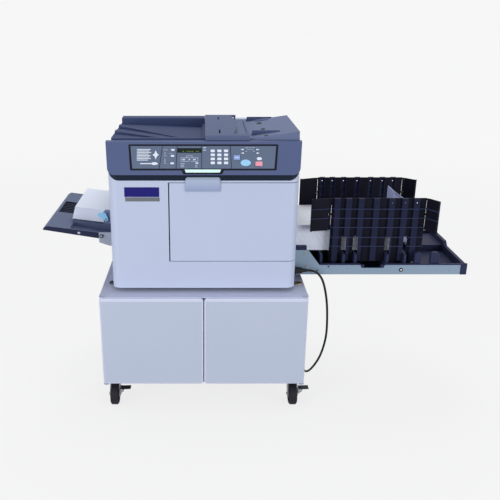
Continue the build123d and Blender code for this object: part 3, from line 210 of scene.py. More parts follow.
def shown_white(finish):
    """One where the camera, a reflection or a clear piece looks straight at something."""
    return any_of(finish.node("ShaderNodeLightPath", out=ray) for ray in (
        "Is Camera Ray", "Is Glossy Ray", "Is Transmission Ray"))


room_colour = (0.97, 0.98, 1.0, 1.0)
room_strength = 0.54
backdrop_tone = grey(0.925)
world = bpy.data.worlds.new("studio")
scene.world = world
sky = Finish("studio", world)
room_light = sky.node("ShaderNodeBackground", sockets={
    "Color": room_colour, "Strength": room_strength})
seen_light = sky.node("ShaderNodeBackground", sockets={"Color": backdrop_tone, "Strength": 1.0})
chosen = sky.node("ShaderNodeMixShader", sockets={
    0: shown_white(sky), 1: room_light, 2: seen_light})
sky.node("ShaderNodeOutputWorld", sockets={"Surface": chosen})

lamp_width = 2.4
machine_middle = (0.0, 0.0, 0.6)
lid_back = (0.1, 0.1, 0.7)


def lamp(name, place, aim, power):
    """A square soft white lamp that faces a point."""
    data = bpy.data.lights.new(name, "AREA")
    data.shape = "SQUARE"
    data.size = lamp_width
    data.energy = power
    fixture = bpy.data.objects.new(name, data)
    fixture.location = place
    fixture.rotation_euler = (Vector(aim) - Vector(place)).to_track_quat("-Z", "Y").to_euler()
    scene.collection.objects.link(fixture)


lamp("top_lamp", (0.1, 1.5, 3.3), lid_back, 42)
lamp("left_lamp", (-3.4, -3.3, 1.15), machine_middle, 130)
lamp("right_lamp", (3.6, -3.3, 1.15), machine_middle, 112)

floor_reach = 40.0
floor_paint = grey(0.13)
near_glow, near_reach = grey(0.79), 1.5
far_glow, far_reach = grey(0.86), 6.0
floor_mesh = bpy.data.meshes.new("studio_floor")
floor_mesh.from_pydata(
    [(-floor_reach, -floor_reach, 0), (floor_reach, -floor_reach, 0),
     (floor_reach, floor_reach, 0), (-floor_reach, floor_reach, 0)], [], [(0, 1, 2, 3)])
studio_floor = bpy.data.objects.new("studio_floor", floor_mesh)
scene.collection.objects.link(studio_floor)
paper_floor = Finish("studio_floor")
shaded = paper_floor.node("ShaderNodeBsdfDiffuse", sockets={"Color": floor_paint})
distance = paper_floor.node("ShaderNodeVectorMath", {"operation": "LENGTH"},
                            {0: paper_floor.place()}, out=1)
faded = paper_floor.node("ShaderNodeMapRange", {"interpolation_type": "SMOOTHSTEP"}, {
    "Value": distance, "From Min": near_reach, "From Max": far_reach})
glow = paper_floor.node("ShaderNodeEmission", sockets={
    "Color": paper_floor.mix(faded, near_glow, far_glow), "Strength": shown_white(paper_floor)})
paper_floor.finish(paper_floor.node("ShaderNodeAddShader", sockets={0: shaded, 1: glow}))
floor_mesh.materials.append(paper_floor.material)

# Mains lead: one black 8 mm lead from the connector, down behind the cabinet's
# right side to the floor, with its spare length wound in a coil behind the cabinet.

millimetre = 0.001
lead_diameter = 8 * millimetre
lead_exit = (0.358, -0.19, 0.487)
lead_route = (
    lead_exit,
    (0.372, -0.19, 0.487),
    (0.3863, -0.19, 0.4826),
    (0.4, -0.1898, 0.4726),
    (0.414, -0.1893, 0.452),
    (0.426, -0.188, 0.4135),
    (0.4365, -0.183, 0.359),
    (0.443, -0.173, 0.296),
    (0.447, -0.16, 0.226),
    (0.443, -0.141, 0.163),
    (0.434, -0.119, 0.106),
    (0.42, -0.101, 0.064),
    (0.408, -0.085, 0.035),
    (0.399, -0.065, 0.0155),
    (0.394, -0.041, 0.0056),
    (0.391, -0.007, 0.0041),
    (0.393, 0.042, 0.0041),
    (0.399, 0.1, 0.0041),
    (0.404, 0.165, 0.0041),
    (0.405, 0.228, 0.0041),
    (0.401, 0.29, 0.0041),
    (0.388, 0.346, 0.0041),
    (0.356, 0.397, 0.0041),
    (0.312, 0.438, 0.0041),
    (0.276, 0.438, 0.0041),
)
coil_centre = Vector((0.25, 0.388, 0.0041))
coil_radius = 0.050
coil_pitch = 0.0086
turn_points = 16


def wound_points():
    """Two layers of turns: four half turns in, one that climbs, four half turns out."""
    step = coil_pitch / 2
    inward = [coil_radius - step * i for i in range(4)]
    halves = [(radius, 0) for radius in inward] + [(coil_radius - 4 * step, 0.5)]
    halves += [(radius, 1) for radius in reversed(inward)]
    outward = 1 / math.cos(math.pi / turn_points)
    y = coil_centre.y + coil_radius
    side = 1
    points = []
    for radius, layer in halves:
        middle = y - side * radius
        for index in range(turn_points // 2):
            turn = math.pi * (index + 0.5) / (turn_points / 2)
            climb = layer
            if layer == 0.5:
                climb = (1 - math.cos(turn)) / 2
            points.append((
                coil_centre.x - side * radius * outward * math.sin(turn),
                middle + side * radius * outward * math.cos(turn),
                coil_centre.z + climb * coil_pitch,
            ))
        y -= side * 2 * radius
        side = -side
    return points, (coil_centre.x + lead_diameter, y, coil_centre.z + coil_pitch)


turns, lead_end = wound_points()
lead_points = list(lead_route) + turns + [
    (coil_centre.x, lead_end[1], lead_end[2]), lead_end]
lead_curve = bpy.data.curves.new("mains_lead", "CURVE")
lead_curve.dimensions = "3D"
lead_curve.bevel_depth = lead_diameter / 2
lead_curve.bevel_resolution = 4
lead_curve.use_fill_caps = True
line = lead_curve.splines.new("NURBS")
line.points.add(len(lead_points) - 1)
for point, place in zip(line.points, lead_points):
    point.co = (*place, 1.0)
line.use_endpoint_u = True
line.order_u = 3
line.resolution_u = 6
mains_lead = bpy.data.objects.new("mains_lead", lead_curve)
scene.collection.objects.link(mains_lead)

sheath = Finish("lead_sheath")
scuffs = sheath.noise(90, detail=4)
sheath_skin = sheath.surface(
    sheath.mix(scuffs, tone(9, 10, 12), tone(17, 18, 21)),
    0.5 + scuffs * 0.18,
    sheath.bump(sheath.noise(1400), 0.00008),
    specular_ior_level=0.25)
lead_curve.materials.append(sheath_skin)
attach(mains_lead, "machine")
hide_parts("cord", "coil")


def wear(node, material):
    """Gives a CAD piece its finish."""
    mesh = nodes[node].data
    mesh.materials.clear()
    mesh.materials.append(material)
    for face in mesh.polygons:
        face.material_index = 0


wear("connector", sheath_skin)
wear("plug", sheath_skin)

# Cabinet: a case of laminated boards in a pale lilac grey and two slightly darker doors
# with rounded rims that carry a lighter painted highlight, on turned steel pins. The laminate has a
# fine pebble.

# The band along the doors' top, bottom, outer sides and middle split that gets the painted
# highlight.
rim_top, rim_bottom, rim_side, rim_gap = 0.4215, 0.113, 0.3455, 0.0065


def laminate(name, colour, shade, edge=None):
    """Laminate with faint cloudy tone, a pebbled skin and handling marks."""
    board = Finish(name)
    cloud = board.noise(5, detail=3)
    marks = board.noise(38, detail=5, rough=0.65)
    face = board.mix(cloud * 0.6 + marks * 0.25, colour, shade)
    # Where an edge colour is given, the rims get it as a lighter painted highlight.
    if edge:
        width, height = abs(board.along(0)), board.along(2)
        rim = any_of((height > rim_top, height < rim_bottom, width > rim_side, width < rim_gap))
        face = board.mix(rim, face, edge)
    return board.surface(
        face, 0.44 + marks * 0.12, board.bump(board.noise(1500) + marks * 0.3, 0.00006))


cabinet_body = laminate("cabinet_laminate", tone(192, 199, 224), tone(185, 192, 218))
# The doors' rims carry a lighter painted highlight.
cabinet_front = laminate("door_laminate", tone(184, 193, 214), tone(178, 188, 209),
                         edge=tone(203, 209, 232))
wear("cabinet_case", cabinet_body)
wear("cabinet_door_left", cabinet_front)
wear("cabinet_door_right", cabinet_front)


def brushed(name, colour, shade, scale, roughness=0.34):
    """Steel with fine lines along one way, and darker patches from handling."""
    steel = Finish(name)
    lines = steel.noise(3, detail=6, vector=steel.stretched(scale), rough=0.7)
    patches = steel.noise(14, detail=3)
    return steel.surface(
        steel.mix(patches * 0.5 + lines * 0.4, colour, shade),
        roughness + lines * 0.12,
        steel.bump(lines, 0.00005),
        metallic=1.0)


turned_steel = brushed("pin_steel", tone(190, 192, 198), tone(160, 162, 170), (900, 900, 60))
wear("hinge_pins", turned_steel)

# Edging: a 2.4 mm strip of the same laminate that carries the cabinet's top forward
# over the doors, glued between the hinge tabs and flush with them.

edging_size = (0.662, 0.0192, 0.0024)
edging_middle = (0.0, -0.3, 0.4368)
edging_nose = 0.0012


def mesh_object(name, form, material):
    """Puts a finished form in the scene as one piece of one material."""
    mesh = bpy.data.meshes.new(name)
    form.to_mesh(mesh)
    form.free()
    mesh.materials.append(material)
    made = bpy.data.objects.new(name, mesh)
    scene.collection.objects.link(made)
    return made


form = bmesh.new()
bmesh.ops.create_cube(form, size=1.0)
for corner in form.verts:
    corner.co = Vector([
        part * size + middle
        for part, size, middle in zip(corner.co, edging_size, edging_middle)])
nose = [edge for edge in form.edges if all(
    v.co.y < edging_middle[1] and v.co.z > edging_middle[2] for v in edge.verts)]
bmesh.ops.bevel(form, geom=nose, offset=edging_nose, segments=3, affect="EDGES")
edging = mesh_object("cabinet_edging", form, cabinet_body)
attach(edging, "machine")

# Levelling cups: two shallow turned cups on the cabinet's top, beside the machine's
# base, one of bronze-coloured metal and the other dark.

bronze = brushed("cup_bronze", tone(176, 156, 132), tone(146, 126, 104), (300, 300, 300), 0.4)
dark_cup = brushed("cup_dark", tone(96, 98, 108), tone(74, 76, 86), (300, 300, 300), 0.45)
cabinet_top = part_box("cabinet_case")[1].z
cup_profile = (
    (0, 0.0002), (0.0135, 0.0002), (0.0145, 0.0012), (0.0135, 0.0042), (0.012, 0.0046),
    (0.011, 0.003), (0, 0.003))


def turned(name, profile, origin, axis, material, steps=32):
    """A round piece, from (radius, height) pairs along an axis."""
    form = bmesh.new()
    way = Vector(axis).normalized()
    side = way.orthogonal().normalized()
    other = way.cross(side)
    rings = []
    for radius, height in profile:
        centre = Vector(origin) + way * height
        if radius == 0:
            rings.append([form.verts.new(centre)])
            continue
        rings.append([
            form.verts.new(centre + (side * math.cos(a) + other * math.sin(a)) * radius)
            for a in (2 * math.pi * i / steps for i in range(steps))])
    for low, high in zip(rings, rings[1:]):
        for i in range(steps):
            j = (i + 1) % steps
            if len(low) == 1:
                form.faces.new((low[0], high[i], high[j]))
            elif len(high) == 1:
                form.faces.new((low[i], high[0], low[j]))
            else:
                form.faces.new((low[i], high[i], high[j], low[j]))
    bmesh.ops.recalc_face_normals(form, faces=form.faces)
    for face in form.faces:
        heights = {round(v.co.dot(way), 6) for v in face.verts}
        face.smooth = len(face.verts) == 4 and len(heights) > 1
    return mesh_object(name, form, material)


for cup_name, cup_x, cup_y, cup_skin in (
        ("cup_right", 0.328, -0.191, bronze), ("cup_left", -0.316, -0.187, dark_cup)):
    cup = turned(cup_name, cup_profile, (cup_x, cup_y, cabinet_top), (0, 0, 1), cup_skin)
    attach(cup, "machine")

# Casters: zinc-plated pressed forks on bolted plates, grey-black rubber wheels with
# pressed-on hub caps, and a pedal brake on each front one.

zinc = brushed("caster_zinc", tone(170, 170, 178), tone(140, 140, 150), (200, 200, 200), 0.38)
wear("caster_plates", zinc)


def rubbery(name, colour, shade):
    """Rubber with dust in random patches."""
    rubber = Finish(name)
    dust = rubber.noise(60, detail=4)
    return rubber.surface(
        rubber.mix(dust, colour, shade), 0.62 + dust * 0.15,
        rubber.bump(rubber.noise(900), 0.00012), specular_ior_level=0.25)


wheel_skin = rubbery("wheel_rubber", tone(18, 17, 24), tone(34, 32, 42))
brake_skin = brushed("brake_zinc", tone(74, 78, 84), tone(52, 56, 62), (200, 200, 200), 0.45)
places = ("front_left", "front_right", "rear_left", "rear_right")
for place in places:
    wear("caster_fork_" + place, zinc)
    wear("caster_wheel_" + place, wheel_skin)
    if place.startswith("front"):
        wear("caster_brake_" + place, brake_skin)

hub_plastic = Finish("hub_plastic")
hub_grain = hub_plastic.noise(300, detail=3)
hub_skin = hub_plastic.surface(
    hub_plastic.mix(hub_grain, tone(66, 64, 74), tone(50, 48, 58)), 0.5,
    hub_plastic.bump(hub_grain, 0.0001))
hub_profile = ((0.0058, 0.0), (0.0058, 0.0006), (0.0125, 0.0006), (0.0128, 0.0001), (0.0128, 0.0))
hub_gap = 0.0001
for place in places:
    low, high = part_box("caster_wheel_" + place)
    middle = (low + high) / 2
    for side, side_name in ((-1, "left"), (1, "right")):
        cap = turned(
            f"hub_cap_{place}_{side_name}", hub_profile,
            (middle.x + side * ((high.x - low.x) / 2 + hub_gap), middle.y, middle.z),
            (side, 0, 0), hub_skin)
        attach(cap, "wheel_" + place)

# Machine feet and chassis: black rubber feet under a plated steel base pan, with two
# frame plates, tie bars and the feed tray's lifting rods.

wear("machine_feet", rubbery("foot_rubber", tone(38, 38, 46), tone(58, 58, 68)))
wear("chassis", brushed("chassis_plate", tone(168, 172, 180), tone(140, 144, 154), (40, 40, 400)))

# Casing: moulded covers in a cool pale grey with a fine spark texture, and a black power
# inlet in the right one. The front one carries a bare blue badge plate over a grey strip.


def spark_texture(skin):
    """The fine even spark that a mould leaves."""
    return skin.noise(1100, detail=3)


def moulded_tone(skin, spark, colour, shade):
    """A faint change of tone over a moulding."""
    return skin.mix(skin.noise(4, detail=2) * 0.8 + spark * 0.15, colour, shade)


def spark_surface(skin, spark, face, roughness=0.46, shine=0.5):
    """Finishes a moulding: its colours under the spark."""
    return skin.surface(face, roughness + spark * 0.14, skin.bump(spark, 0.00006),
                        specular_ior_level=shine)


def moulded(name, colour, shade, roughness=0.46, shine=0.5):
    """Plain moulded plastic."""
    plastic = Finish(name)
    spark = spark_texture(plastic)
    return spark_surface(plastic, spark, moulded_tone(plastic, spark, colour, shade),
                         roughness, shine)


casing_tones = tone(186, 196, 222), tone(180, 190, 217)
casing = moulded("casing", *casing_tones)
for node in ("left_cover", "right_cover", "rear_cover", "front_cover", "scanner_base"):
    wear(node, casing)
wear("inlet", moulded("inlet_black", tone(26, 28, 40), tone(20, 22, 34), shine=0.3))


def rounded_plate(name, left, right, low, high, y, thickness, corner, material):
    """A flat plate on the front, facing the user, with rounded corners and edges."""
    form = bmesh.new()
    outline = []
    steps = 6
    bevel = 0.0004
    for cx, cz, start in ((right - corner, high - corner, 0), (left + corner, high - corner, 90),
                          (left + corner, low + corner, 180), (right - corner, low + corner, 270)):
        for i in range(steps + 1):
            a = math.radians(start + 90 * i / steps)
            outline.append((cx + corner * math.cos(a), cz + corner * math.sin(a)))
    back = [form.verts.new((x, y, z)) for x, z in outline]
    face = form.faces.new(back)
    grown = bmesh.ops.extrude_face_region(form, geom=[face])
    moved = [v for v in grown["geom"] if isinstance(v, bmesh.types.BMVert)]
    bmesh.ops.translate(form, verts=moved, vec=(0, -thickness, 0))
    bmesh.ops.recalc_face_normals(form, faces=form.faces)
    rim = [e for e in form.edges if all(abs(v.co.y - (y - thickness)) < 1e-7 for v in e.verts)]
    bmesh.ops.bevel(form, geom=rim, offset=bevel, segments=2, affect="EDGES")
    return mesh_object(name, form, material)


def enamel(name, colour, shade):
    """A printed and lacquered plate, with faint waviness."""
    lacquer = Finish(name)
    wave = lacquer.noise(40, detail=2)
    return lacquer.surface(
        lacquer.mix(wave, colour, shade), 0.4 + wave * 0.06,
        lacquer.bump(wave, 0.00004), specular_ior_level=0.2)


front_face = -0.262
badge = rounded_plate("badge_plate", -0.2555, -0.1435, 0.7695, 0.8015, front_face, 0.0012, 0.0008,
                      enamel("badge_blue", tone(27, 25, 112), tone(23, 21, 102)))
strip = rounded_plate("badge_strip", -0.2535, -0.1425, 0.7545, 0.7680, front_face, 0.0008, 0.0006,
                      enamel("badge_grey", tone(116, 120, 126), tone(104, 108, 114)))
for plate in (badge, strip):
    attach(plate, "machine")

# Front door: the same moulding, with its finger grip in a bluer, slightly clear plastic
# that is pressed in at the top; the grip carries painted shade and highlight up its height.

grip_left, grip_right, grip_back, grip_low = -0.0594, 0.0534, -0.2622, 0.7885
grip_base, grip_rise = 0.789, 0.046
door_skin = Finish("front_door")
door_x, door_y, door_z = (door_skin.along(axis) for axis in range(3))
grip_mask = (door_x > grip_left) * (door_x < grip_right) * (door_y < grip_back) * (
    door_z > grip_low)
# The grip's tone runs darker at its foot and top and lighter between: painted shade and highlight
# of the pressed-in scoop.
grip_painted_shading = door_skin.node("ShaderNodeValToRGB", {"stops": (
    (0.0, tone(140, 152, 184)), (0.25, tone(150, 162, 196)), (0.72, tone(164, 178, 204)),
    (1.0, tone(142, 154, 176)))}, {"Fac": (door_z - grip_base) / grip_rise})
door_spark = spark_texture(door_skin)
door_tone = moulded_tone(door_skin, door_spark, *casing_tones)
wear("front_door", spark_surface(
    door_skin, door_spark, door_skin.mix(grip_mask, door_tone, grip_painted_shading)))

# Print drum and press roller: a fine steel screen round pierced flanges, and a black
# rubber roller under it.

screen = Finish("drum_screen")
ink = screen.noise(24, detail=4)
mesh_lines = screen.noise(1600, detail=1)
wear("print_drum", screen.surface(
    screen.mix(ink, tone(72, 74, 80), tone(120, 122, 130)), 0.42 + ink * 0.2,
    screen.bump(mesh_lines, 0.0002), metallic=0.8))
wear("press_roller", rubbery("roller_rubber", tone(40, 40, 44), tone(56, 56, 60)))

# Control panel: a slate-blue moulded housing on a near-black chin strip. A dark film
# bezel carries lighter plates, white keys, a blue start key and a pink stop key.

slate = moulded("slate_housing", tone(83, 94, 132), tone(75, 86, 124), shine=0.25)
slate_lid = moulded("slate_lid", tone(89, 100, 132), tone(81, 92, 124), roughness=0.6, shine=0.12)
wear("panel_housing", slate)
wear("chin_strip", moulded("chin_black", tone(25, 34, 50), tone(21, 30, 46), shine=0.12))

panel_origin = Vector((0, -0.270, 0.843))
panel_up = Vector((0, 60, 96)).normalized()
panel_out = Vector((0, -96, 60)).normalized()
film_height = 0.4
display_height = 1.21
mode_key_height = 2.65


def on_panel(x, s, height=0.0):
    """A point of the panel, from its place across and up the slope, in millimetres."""
    return (panel_origin + Vector((x * millimetre, 0, 0)) + panel_up * (s * millimetre)
            + panel_out * (height * millimetre))


# The film's plates are printed: five lighter fields between dark dividing lines.
film = Finish("panel_film")
film_x = film.along(0) * 1000
film_s = (film.along(1) - panel_origin.y) * (1000 * panel_up.y) + (
    film.along(2) - panel_origin.z) * (1000 * panel_up.z)
plate_low, plate_high = 21.8, 97.6
left_edge = (-236.6, 99.3, -228.6, 20.1)
right_edge = (233.4, 99.3, 225.5, 20.1)
edge_inset = 1.4
divides = ((-137, 61, -142, 20), (-85.5, 90, -88.4, 20), (-6.7, 90, -6.7, 20), (84.9, 96, 88, 24))
divide_half = 1.0


def right_of(line):
    """How far a point of the film lies to the right of a leaning line, in millimetres."""
    x_high, s_high, x_low, s_low = line
    lean = (x_high - x_low) / (s_high - s_low)
    return film_x - (film_s - s_low) * lean - x_low


plate_mask = (film_s > plate_low) * (film_s < plate_high) * (
    right_of(left_edge) > edge_inset) * (right_of(right_edge) < -edge_inset)
for divide in divides:
    plate_mask = plate_mask * (abs(right_of(divide)) > divide_half)
film_grain = film.noise(700, detail=2)
film_cloud = film.noise(9)
plate_tone = film.mix(film_cloud, tone(97, 110, 134), tone(89, 103, 127))
wear("panel_bezel", film.surface(
    film.mix(plate_mask, tone(11, 13, 28), plate_tone), 0.4 + plate_mask * 0.1,
    film.bump(film_grain, 0.00003), specular_ior_level=0.2))


def key_cap(name, colour, shade):
    """Glossy key plastic, a little worn where fingers press."""
    cap = Finish(name)
    touch = cap.noise(120, detail=3)
    return cap.surface(
        cap.mix(touch, colour, shade), 0.3 + touch * 0.16, cap.bump(touch, 0.00004))


white_keys = key_cap("keys_white", tone(226, 232, 244), tone(212, 220, 236))
wear("flat_keys", white_keys)
wear("cross_pad", white_keys)
wear("start_key", key_cap("key_start", tone(158, 206, 240), tone(146, 196, 234)))
wear("stop_key", key_cap("key_stop", tone(236, 158, 176), tone(228, 146, 166)))
wear("mode_key", key_cap("key_mode", tone(146, 168, 222), tone(134, 156, 214)))

lens = Finish("display_lens")
lens_depth = lens.noise(30)
wear("display", lens.surface(
    lens.mix(lens_depth, tone(10, 20, 18), tone(15, 27, 24)), 0.3,
    lens.bump(lens_depth, 0.00002), specular_ior_level=0.2))
lit = Finish("light_bar")
lit_cloud = lit.noise(60)
wear("light_bar", lit.surface(
    lit.mix(lit_cloud, tone(226, 255, 250), tone(206, 246, 240)), 0.18,
    lit.bump(lit_cloud, 0.00003)))


def print_on_panel(name, marks, material, height, thickness=0.12, body="machine"):
    """Flat printed marks: (centre x, centre s, width, height, corner cut) in millimetres."""
    form = bmesh.new()
    for x, s, wide, tall, cut in marks:
        half, rise = wide / 2, tall / 2
        outline = [
            (x - half + cut, s - rise), (x + half - cut, s - rise),
            (x + half, s - rise + cut), (x + half, s + rise - cut),
            (x + half - cut, s + rise), (x - half + cut, s + rise),
            (x - half, s + rise - cut), (x - half, s - rise + cut)]
        low = [form.verts.new(on_panel(px, ps, height)) for px, ps in outline]
        high = [form.verts.new(on_panel(px, ps, height + thickness)) for px, ps in outline]
        form.faces.new(high)
        form.faces.new(low[::-1])
        for i in range(8):
            j = (i + 1) % 8
            form.faces.new((low[i], low[j], high[j], high[i]))
    bmesh.ops.recalc_face_normals(form, faces=form.faces)
    made = mesh_object(name, form, material)
    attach(made, body)


ink_white = enamel("print_white", tone(222, 228, 240), tone(210, 217, 232))
ink_grey = enamel("print_grey", tone(200, 210, 230), tone(188, 199, 221))
menu_lines = [
    (-192 + (width - 44) / 2, 86.0 - row * 5.1, width, 2.6, 0.5)
    for row, width in enumerate((44, 40, 46, 38, 44, 41, 45, 36))]
menu_lines.append((-184, 38.4, 38, 3.4, 0.8))
print_on_panel("menu_lines", menu_lines, ink_white, film_height)

# Small grey legends beside the keys, as plain dashes, and a line drawing of the paper's
# way through the machine under the display.
legends = [(-122, 84.6, 14, 1.2, 0.3), (-123, 64.5, 9, 1.2, 0.3), (-123, 39.6, 9, 1.2, 0.3),
           (-124, 75, 5, 1.2, 0.3), (-124, 71, 5, 1.2, 0.3), (-124, 54, 5, 1.2, 0.3),
           (-124, 50, 5, 1.2, 0.3), (-124, 46, 5, 1.2, 0.3), (-104, 73, 14, 0.7, 0.2),
           (138, 92, 10, 1.2, 0.3), (148, 92, 6, 1.2, 0.3), (158, 92, 10, 1.2, 0.3),
           (148, 85.5, 20, 0.8, 0.2), (136, 80, 6, 1.2, 0.3), (160, 80, 6, 1.2, 0.3),
           (2.5, 92, 9, 3.4, 0.6), (3, 83.5, 11, 2.2, 0.5)]
legends += [(x, s, w, h, 0.15) for x, s, w, h in (
    (-46, 58, 56, 1.1), (-73, 52, 1.1, 12), (-19, 52, 1.1, 12), (-59, 46, 26, 1.1),
    (-30, 46, 22, 1.1), (-46, 65, 18, 1.1), (-55, 61, 1.1, 7), (-37, 61, 1.1, 7),
    (-64, 52, 9, 4.5), (-30, 52, 9, 4.5), (-46, 52, 5, 4.5), (-68, 38, 14, 1.6),
    (-68, 33, 10, 1.6), (-68, 28, 12, 1.6), (-22, 40, 9, 5.5), (-24, 32, 5, 1.6),
    (-24, 27, 8, 1.6))]
print_on_panel("legends", legends, ink_grey, film_height)

glowing = Finish("display_segments")
flicker = glowing.noise(200)
segments = glowing.surface(
    glowing.mix(flicker, tone(120, 160, 60), tone(96, 136, 50)), 0.4)
print_on_panel("display_segments", [
    (-66 + 6.1 * i, 79.6, 4.2, 1.8, 0.4) for i in range(9) if i not in (1, 6)],
    segments, display_height, 0.05)
print_on_panel("mode_mark", [(105.6, 58.4, 11, 3.2, 0.6)], ink_grey, mode_key_height, 0.05,
               "mode_key")

# Scanner and feeder: the pale scanner housing with its glass, and a slate lid with the
# output well, which is painted darker as shade, the ramp and the two document guides.

wear("feeder_cover", slate_lid)
well_right = 0.045
dark_ovals = (
    (0.2005, 0.084, 0.0095, 0.020), (0.203, -0.047, 0.0080, 0.016),
    (0.2035, -0.172, 0.0070, 0.010))
lid = Finish("lid_moulding")
lid_x, lid_y = lid.along(0), lid.along(1)


def inside_oval(x, y, half_wide, half_deep):
    """One inside an oval on the lid, from its centre and half sizes."""
    off_x, off_y = (lid_x - x) / half_wide, (lid_y - y) / half_deep
    return off_x * off_x + off_y * off_y < 1.0


lid_cloud = lid.noise(4, detail=2) * 0.8
lid_plain = lid.mix(lid_cloud, tone(104, 115, 146), tone(96, 107, 139))
# Left of well_right, over the output well, the lid is darker: painted shade.
lid_well_painted_shade = lid.mix(lid_cloud, tone(58, 69, 104), tone(51, 62, 97))
lid_tone = lid.mix(lid_x < well_right, lid_plain, lid_well_painted_shade)
lid_marked = lid.mix(any_of(inside_oval(*oval) for oval in dark_ovals), lid_tone, tone(16, 18, 34))
wear("adf_lid", spark_surface(lid, spark_texture(lid), lid_marked, 0.6, 0.12))
guide_slate = moulded("guide_slate", tone(78, 87, 124), tone(70, 79, 116), shine=0.15)
wear("document_guide_front", guide_slate)
wear("document_guide_rear", guide_slate)
pad_foam = Finish("platen_pad")
pad_weave = pad_foam.noise(900, detail=2)
wear("platen_pad", pad_foam.surface(
    pad_foam.mix(pad_weave, tone(240, 240, 242), tone(228, 228, 232)), 0.7,
    pad_foam.bump(pad_weave, 0.0001)))
pane = Finish("platen_glass")
wear("platen_glass", pane.surface(
    tone(218, 232, 232), 0.05, pane.bump(pane.noise(3), 0.00001), transmission_weight=0.9,
    ior=1.5))

# Steel parts outside: the feed tray's brackets and the delivery tray's channels, both
# painted a satin blue grey.


def painted(name, colour, shade):
    """Satin powder coat over pressed steel, with a light orange peel."""
    coat = Finish(name)
    peel = coat.noise(420, detail=2)
    cloud = coat.noise(6, detail=3)
    return coat.surface(
        coat.mix(cloud, colour, shade), 0.38 + peel * 0.1, coat.bump(peel, 0.00007),
        metallic=0.25)


channel_paint = painted("channel_paint", tone(132, 152, 172), tone(122, 142, 164))
wear("delivery_frames", channel_paint)
wear("tray_brackets", painted("bracket_paint", tone(150, 158, 176), tone(138, 146, 166)))

# Feed tray: dark slate moulding with a raised bed, two sliding guides and a pale blue
# lock lever; its recess carries painted shade. A stack of blank sheets lies between the guides.

feed_slope = 0.131
tray_left, tray_height = -0.529, 0.6515
recess_left, recess_right = -0.5245, -0.4675
rim_front = -0.2015
tray = Finish("tray_plastic")
tray_x, tray_y, tray_z = (tray.along(axis) for axis in range(3))
# Below the bed's plane in the recess at the tray's left end the tray is painted dark as shade; the
# front rim gets the same dark tone.
recess_shade_mask = (tray_x > recess_left) * (tray_x < recess_right) * (
    tray_z < tray_height - (tray_x - tray_left) * feed_slope)
tray_plate = tray.mix(tray.noise(5, detail=2) * 0.8, tone(92, 103, 131), tone(82, 93, 122))
wear("feed_tray", spark_surface(
    tray, spark_texture(tray),
    tray.mix((tray_y < rim_front).most(recess_shade_mask), tray_plate, tone(30, 36, 62)), 0.5, 0.15))
guide_plastic = moulded("feed_guide_plastic", tone(112, 122, 158), tone(102, 112, 149), shine=0.3)
wear("feed_guide_front", guide_plastic)
wear("feed_guide_rear", guide_plastic)
wear("feed_guide_lever", key_cap("lever_blue", tone(150, 208, 240), tone(136, 196, 232)))


class Growth:
    """A geometry tree, with its sizes as named inputs."""

    def __init__(self, name, inputs):
        self.tree = bpy.data.node_groups.new(name, "GeometryNodeTree")
        self.tree.is_modifier = True
        face = self.tree.interface
        face.new_socket("Geometry", in_out="OUTPUT", socket_type="NodeSocketGeometry")
        face.new_socket("Geometry", in_out="INPUT", socket_type="NodeSocketGeometry")
        for label, kind in inputs:
            face.new_socket(label, in_out="INPUT", socket_type="NodeSocket" + kind)
        self.source = self.tree.nodes.new("NodeGroupInput")
        self.result = self.tree.nodes.new("NodeGroupOutput")

    def given(self, label):
        return self.source.outputs[label]

    def node(self, kind, settings=None, sockets=None, out=0):
        made = self.tree.nodes.new(kind)
        for key, value in (settings or {}).items():
            setattr(made, key, value)
        for key, value in (sockets or {}).items():
            if isinstance(value, bpy.types.NodeSocket):
                self.tree.links.new(value, made.inputs[key])
            else:
                made.inputs[key].default_value = value
        return made.outputs[out]

    def close(self, instances):
        """Ends the tree: real faces, with their material."""
        whole = self.node("GeometryNodeRealizeInstances", sockets={0: instances})
        faced = self.node("GeometryNodeSetMaterial", sockets={0: whole, 2: self.given("Material")})
        self.tree.links.new(faced, self.result.inputs[0])

    def grow(self, name, base, values):
        """The tree's result on a base mesh, as a plain mesh object."""
        seed = bpy.data.objects.new(name + "_seed", base)
        scene.collection.objects.link(seed)
        modifier = seed.modifiers.new("grow", "NODES")
        modifier.node_group = self.tree
        for item in self.tree.interface.items_tree:
            if item.in_out == "INPUT" and item.name in values:
                modifier[item.identifier] = values[item.name]
        seed.update_tag()
        graph = bpy.context.evaluated_depsgraph_get()
        mesh = bpy.data.meshes.new_from_object(seed.evaluated_get(graph), depsgraph=graph)
        mesh.name = name
        bpy.data.objects.remove(seed)
        made = bpy.data.objects.new(name, mesh)
        scene.collection.objects.link(made)
        return made


pile = Growth("sheet_pile", [("Count", "Int"), ("Step", "Vector"), ("Shuffle", "Vector"),
                             ("Seed", "Int"), ("Material", "Material")])
pile_line = pile.node("GeometryNodeMeshLine", sockets={
    "Count": pile.given("Count"), "Offset": pile.given("Step")})
spread = pile.node("FunctionNodeRandomValue", {"data_type": "FLOAT_VECTOR"}, {
    0: (-1, -1, 0), 1: (1, 1, 0), "Seed": pile.given("Seed")})
shifted = pile.node("ShaderNodeVectorMath", {"operation": "MULTIPLY"}, {
    0: spread, 1: pile.given("Shuffle")})
placed = pile.node("GeometryNodeSetPosition", sockets={"Geometry": pile_line, "Offset": shifted})
pile.close(pile.node("GeometryNodeInstanceOnPoints", sockets={
    "Points": placed, "Instance": pile.given("Geometry")}))


bundle = 0.6 * millimetre
paper_middle = 0.017


def sheet_block(left, right, front, rear, base, slope):
    """One bundle of sheets, following a slope that falls to the right."""
    form = bmesh.new()
    corners = []
    for z in (0, bundle * 0.97):
        for x, y in ((left, front), (right, front), (right, rear), (left, rear)):
            corners.append(form.verts.new((x, y, base + z - slope * (x - left))))
    low, high = corners[:4], corners[4:]
    form.faces.new(low[::-1])
    form.faces.new(high)
    for i in range(4):
        j = (i + 1) % 4
        form.faces.new((low[i], low[j], high[j], high[i]))
    mesh = bpy.data.meshes.new("bundle")
    form.to_mesh(mesh)
    form.free()
    return mesh


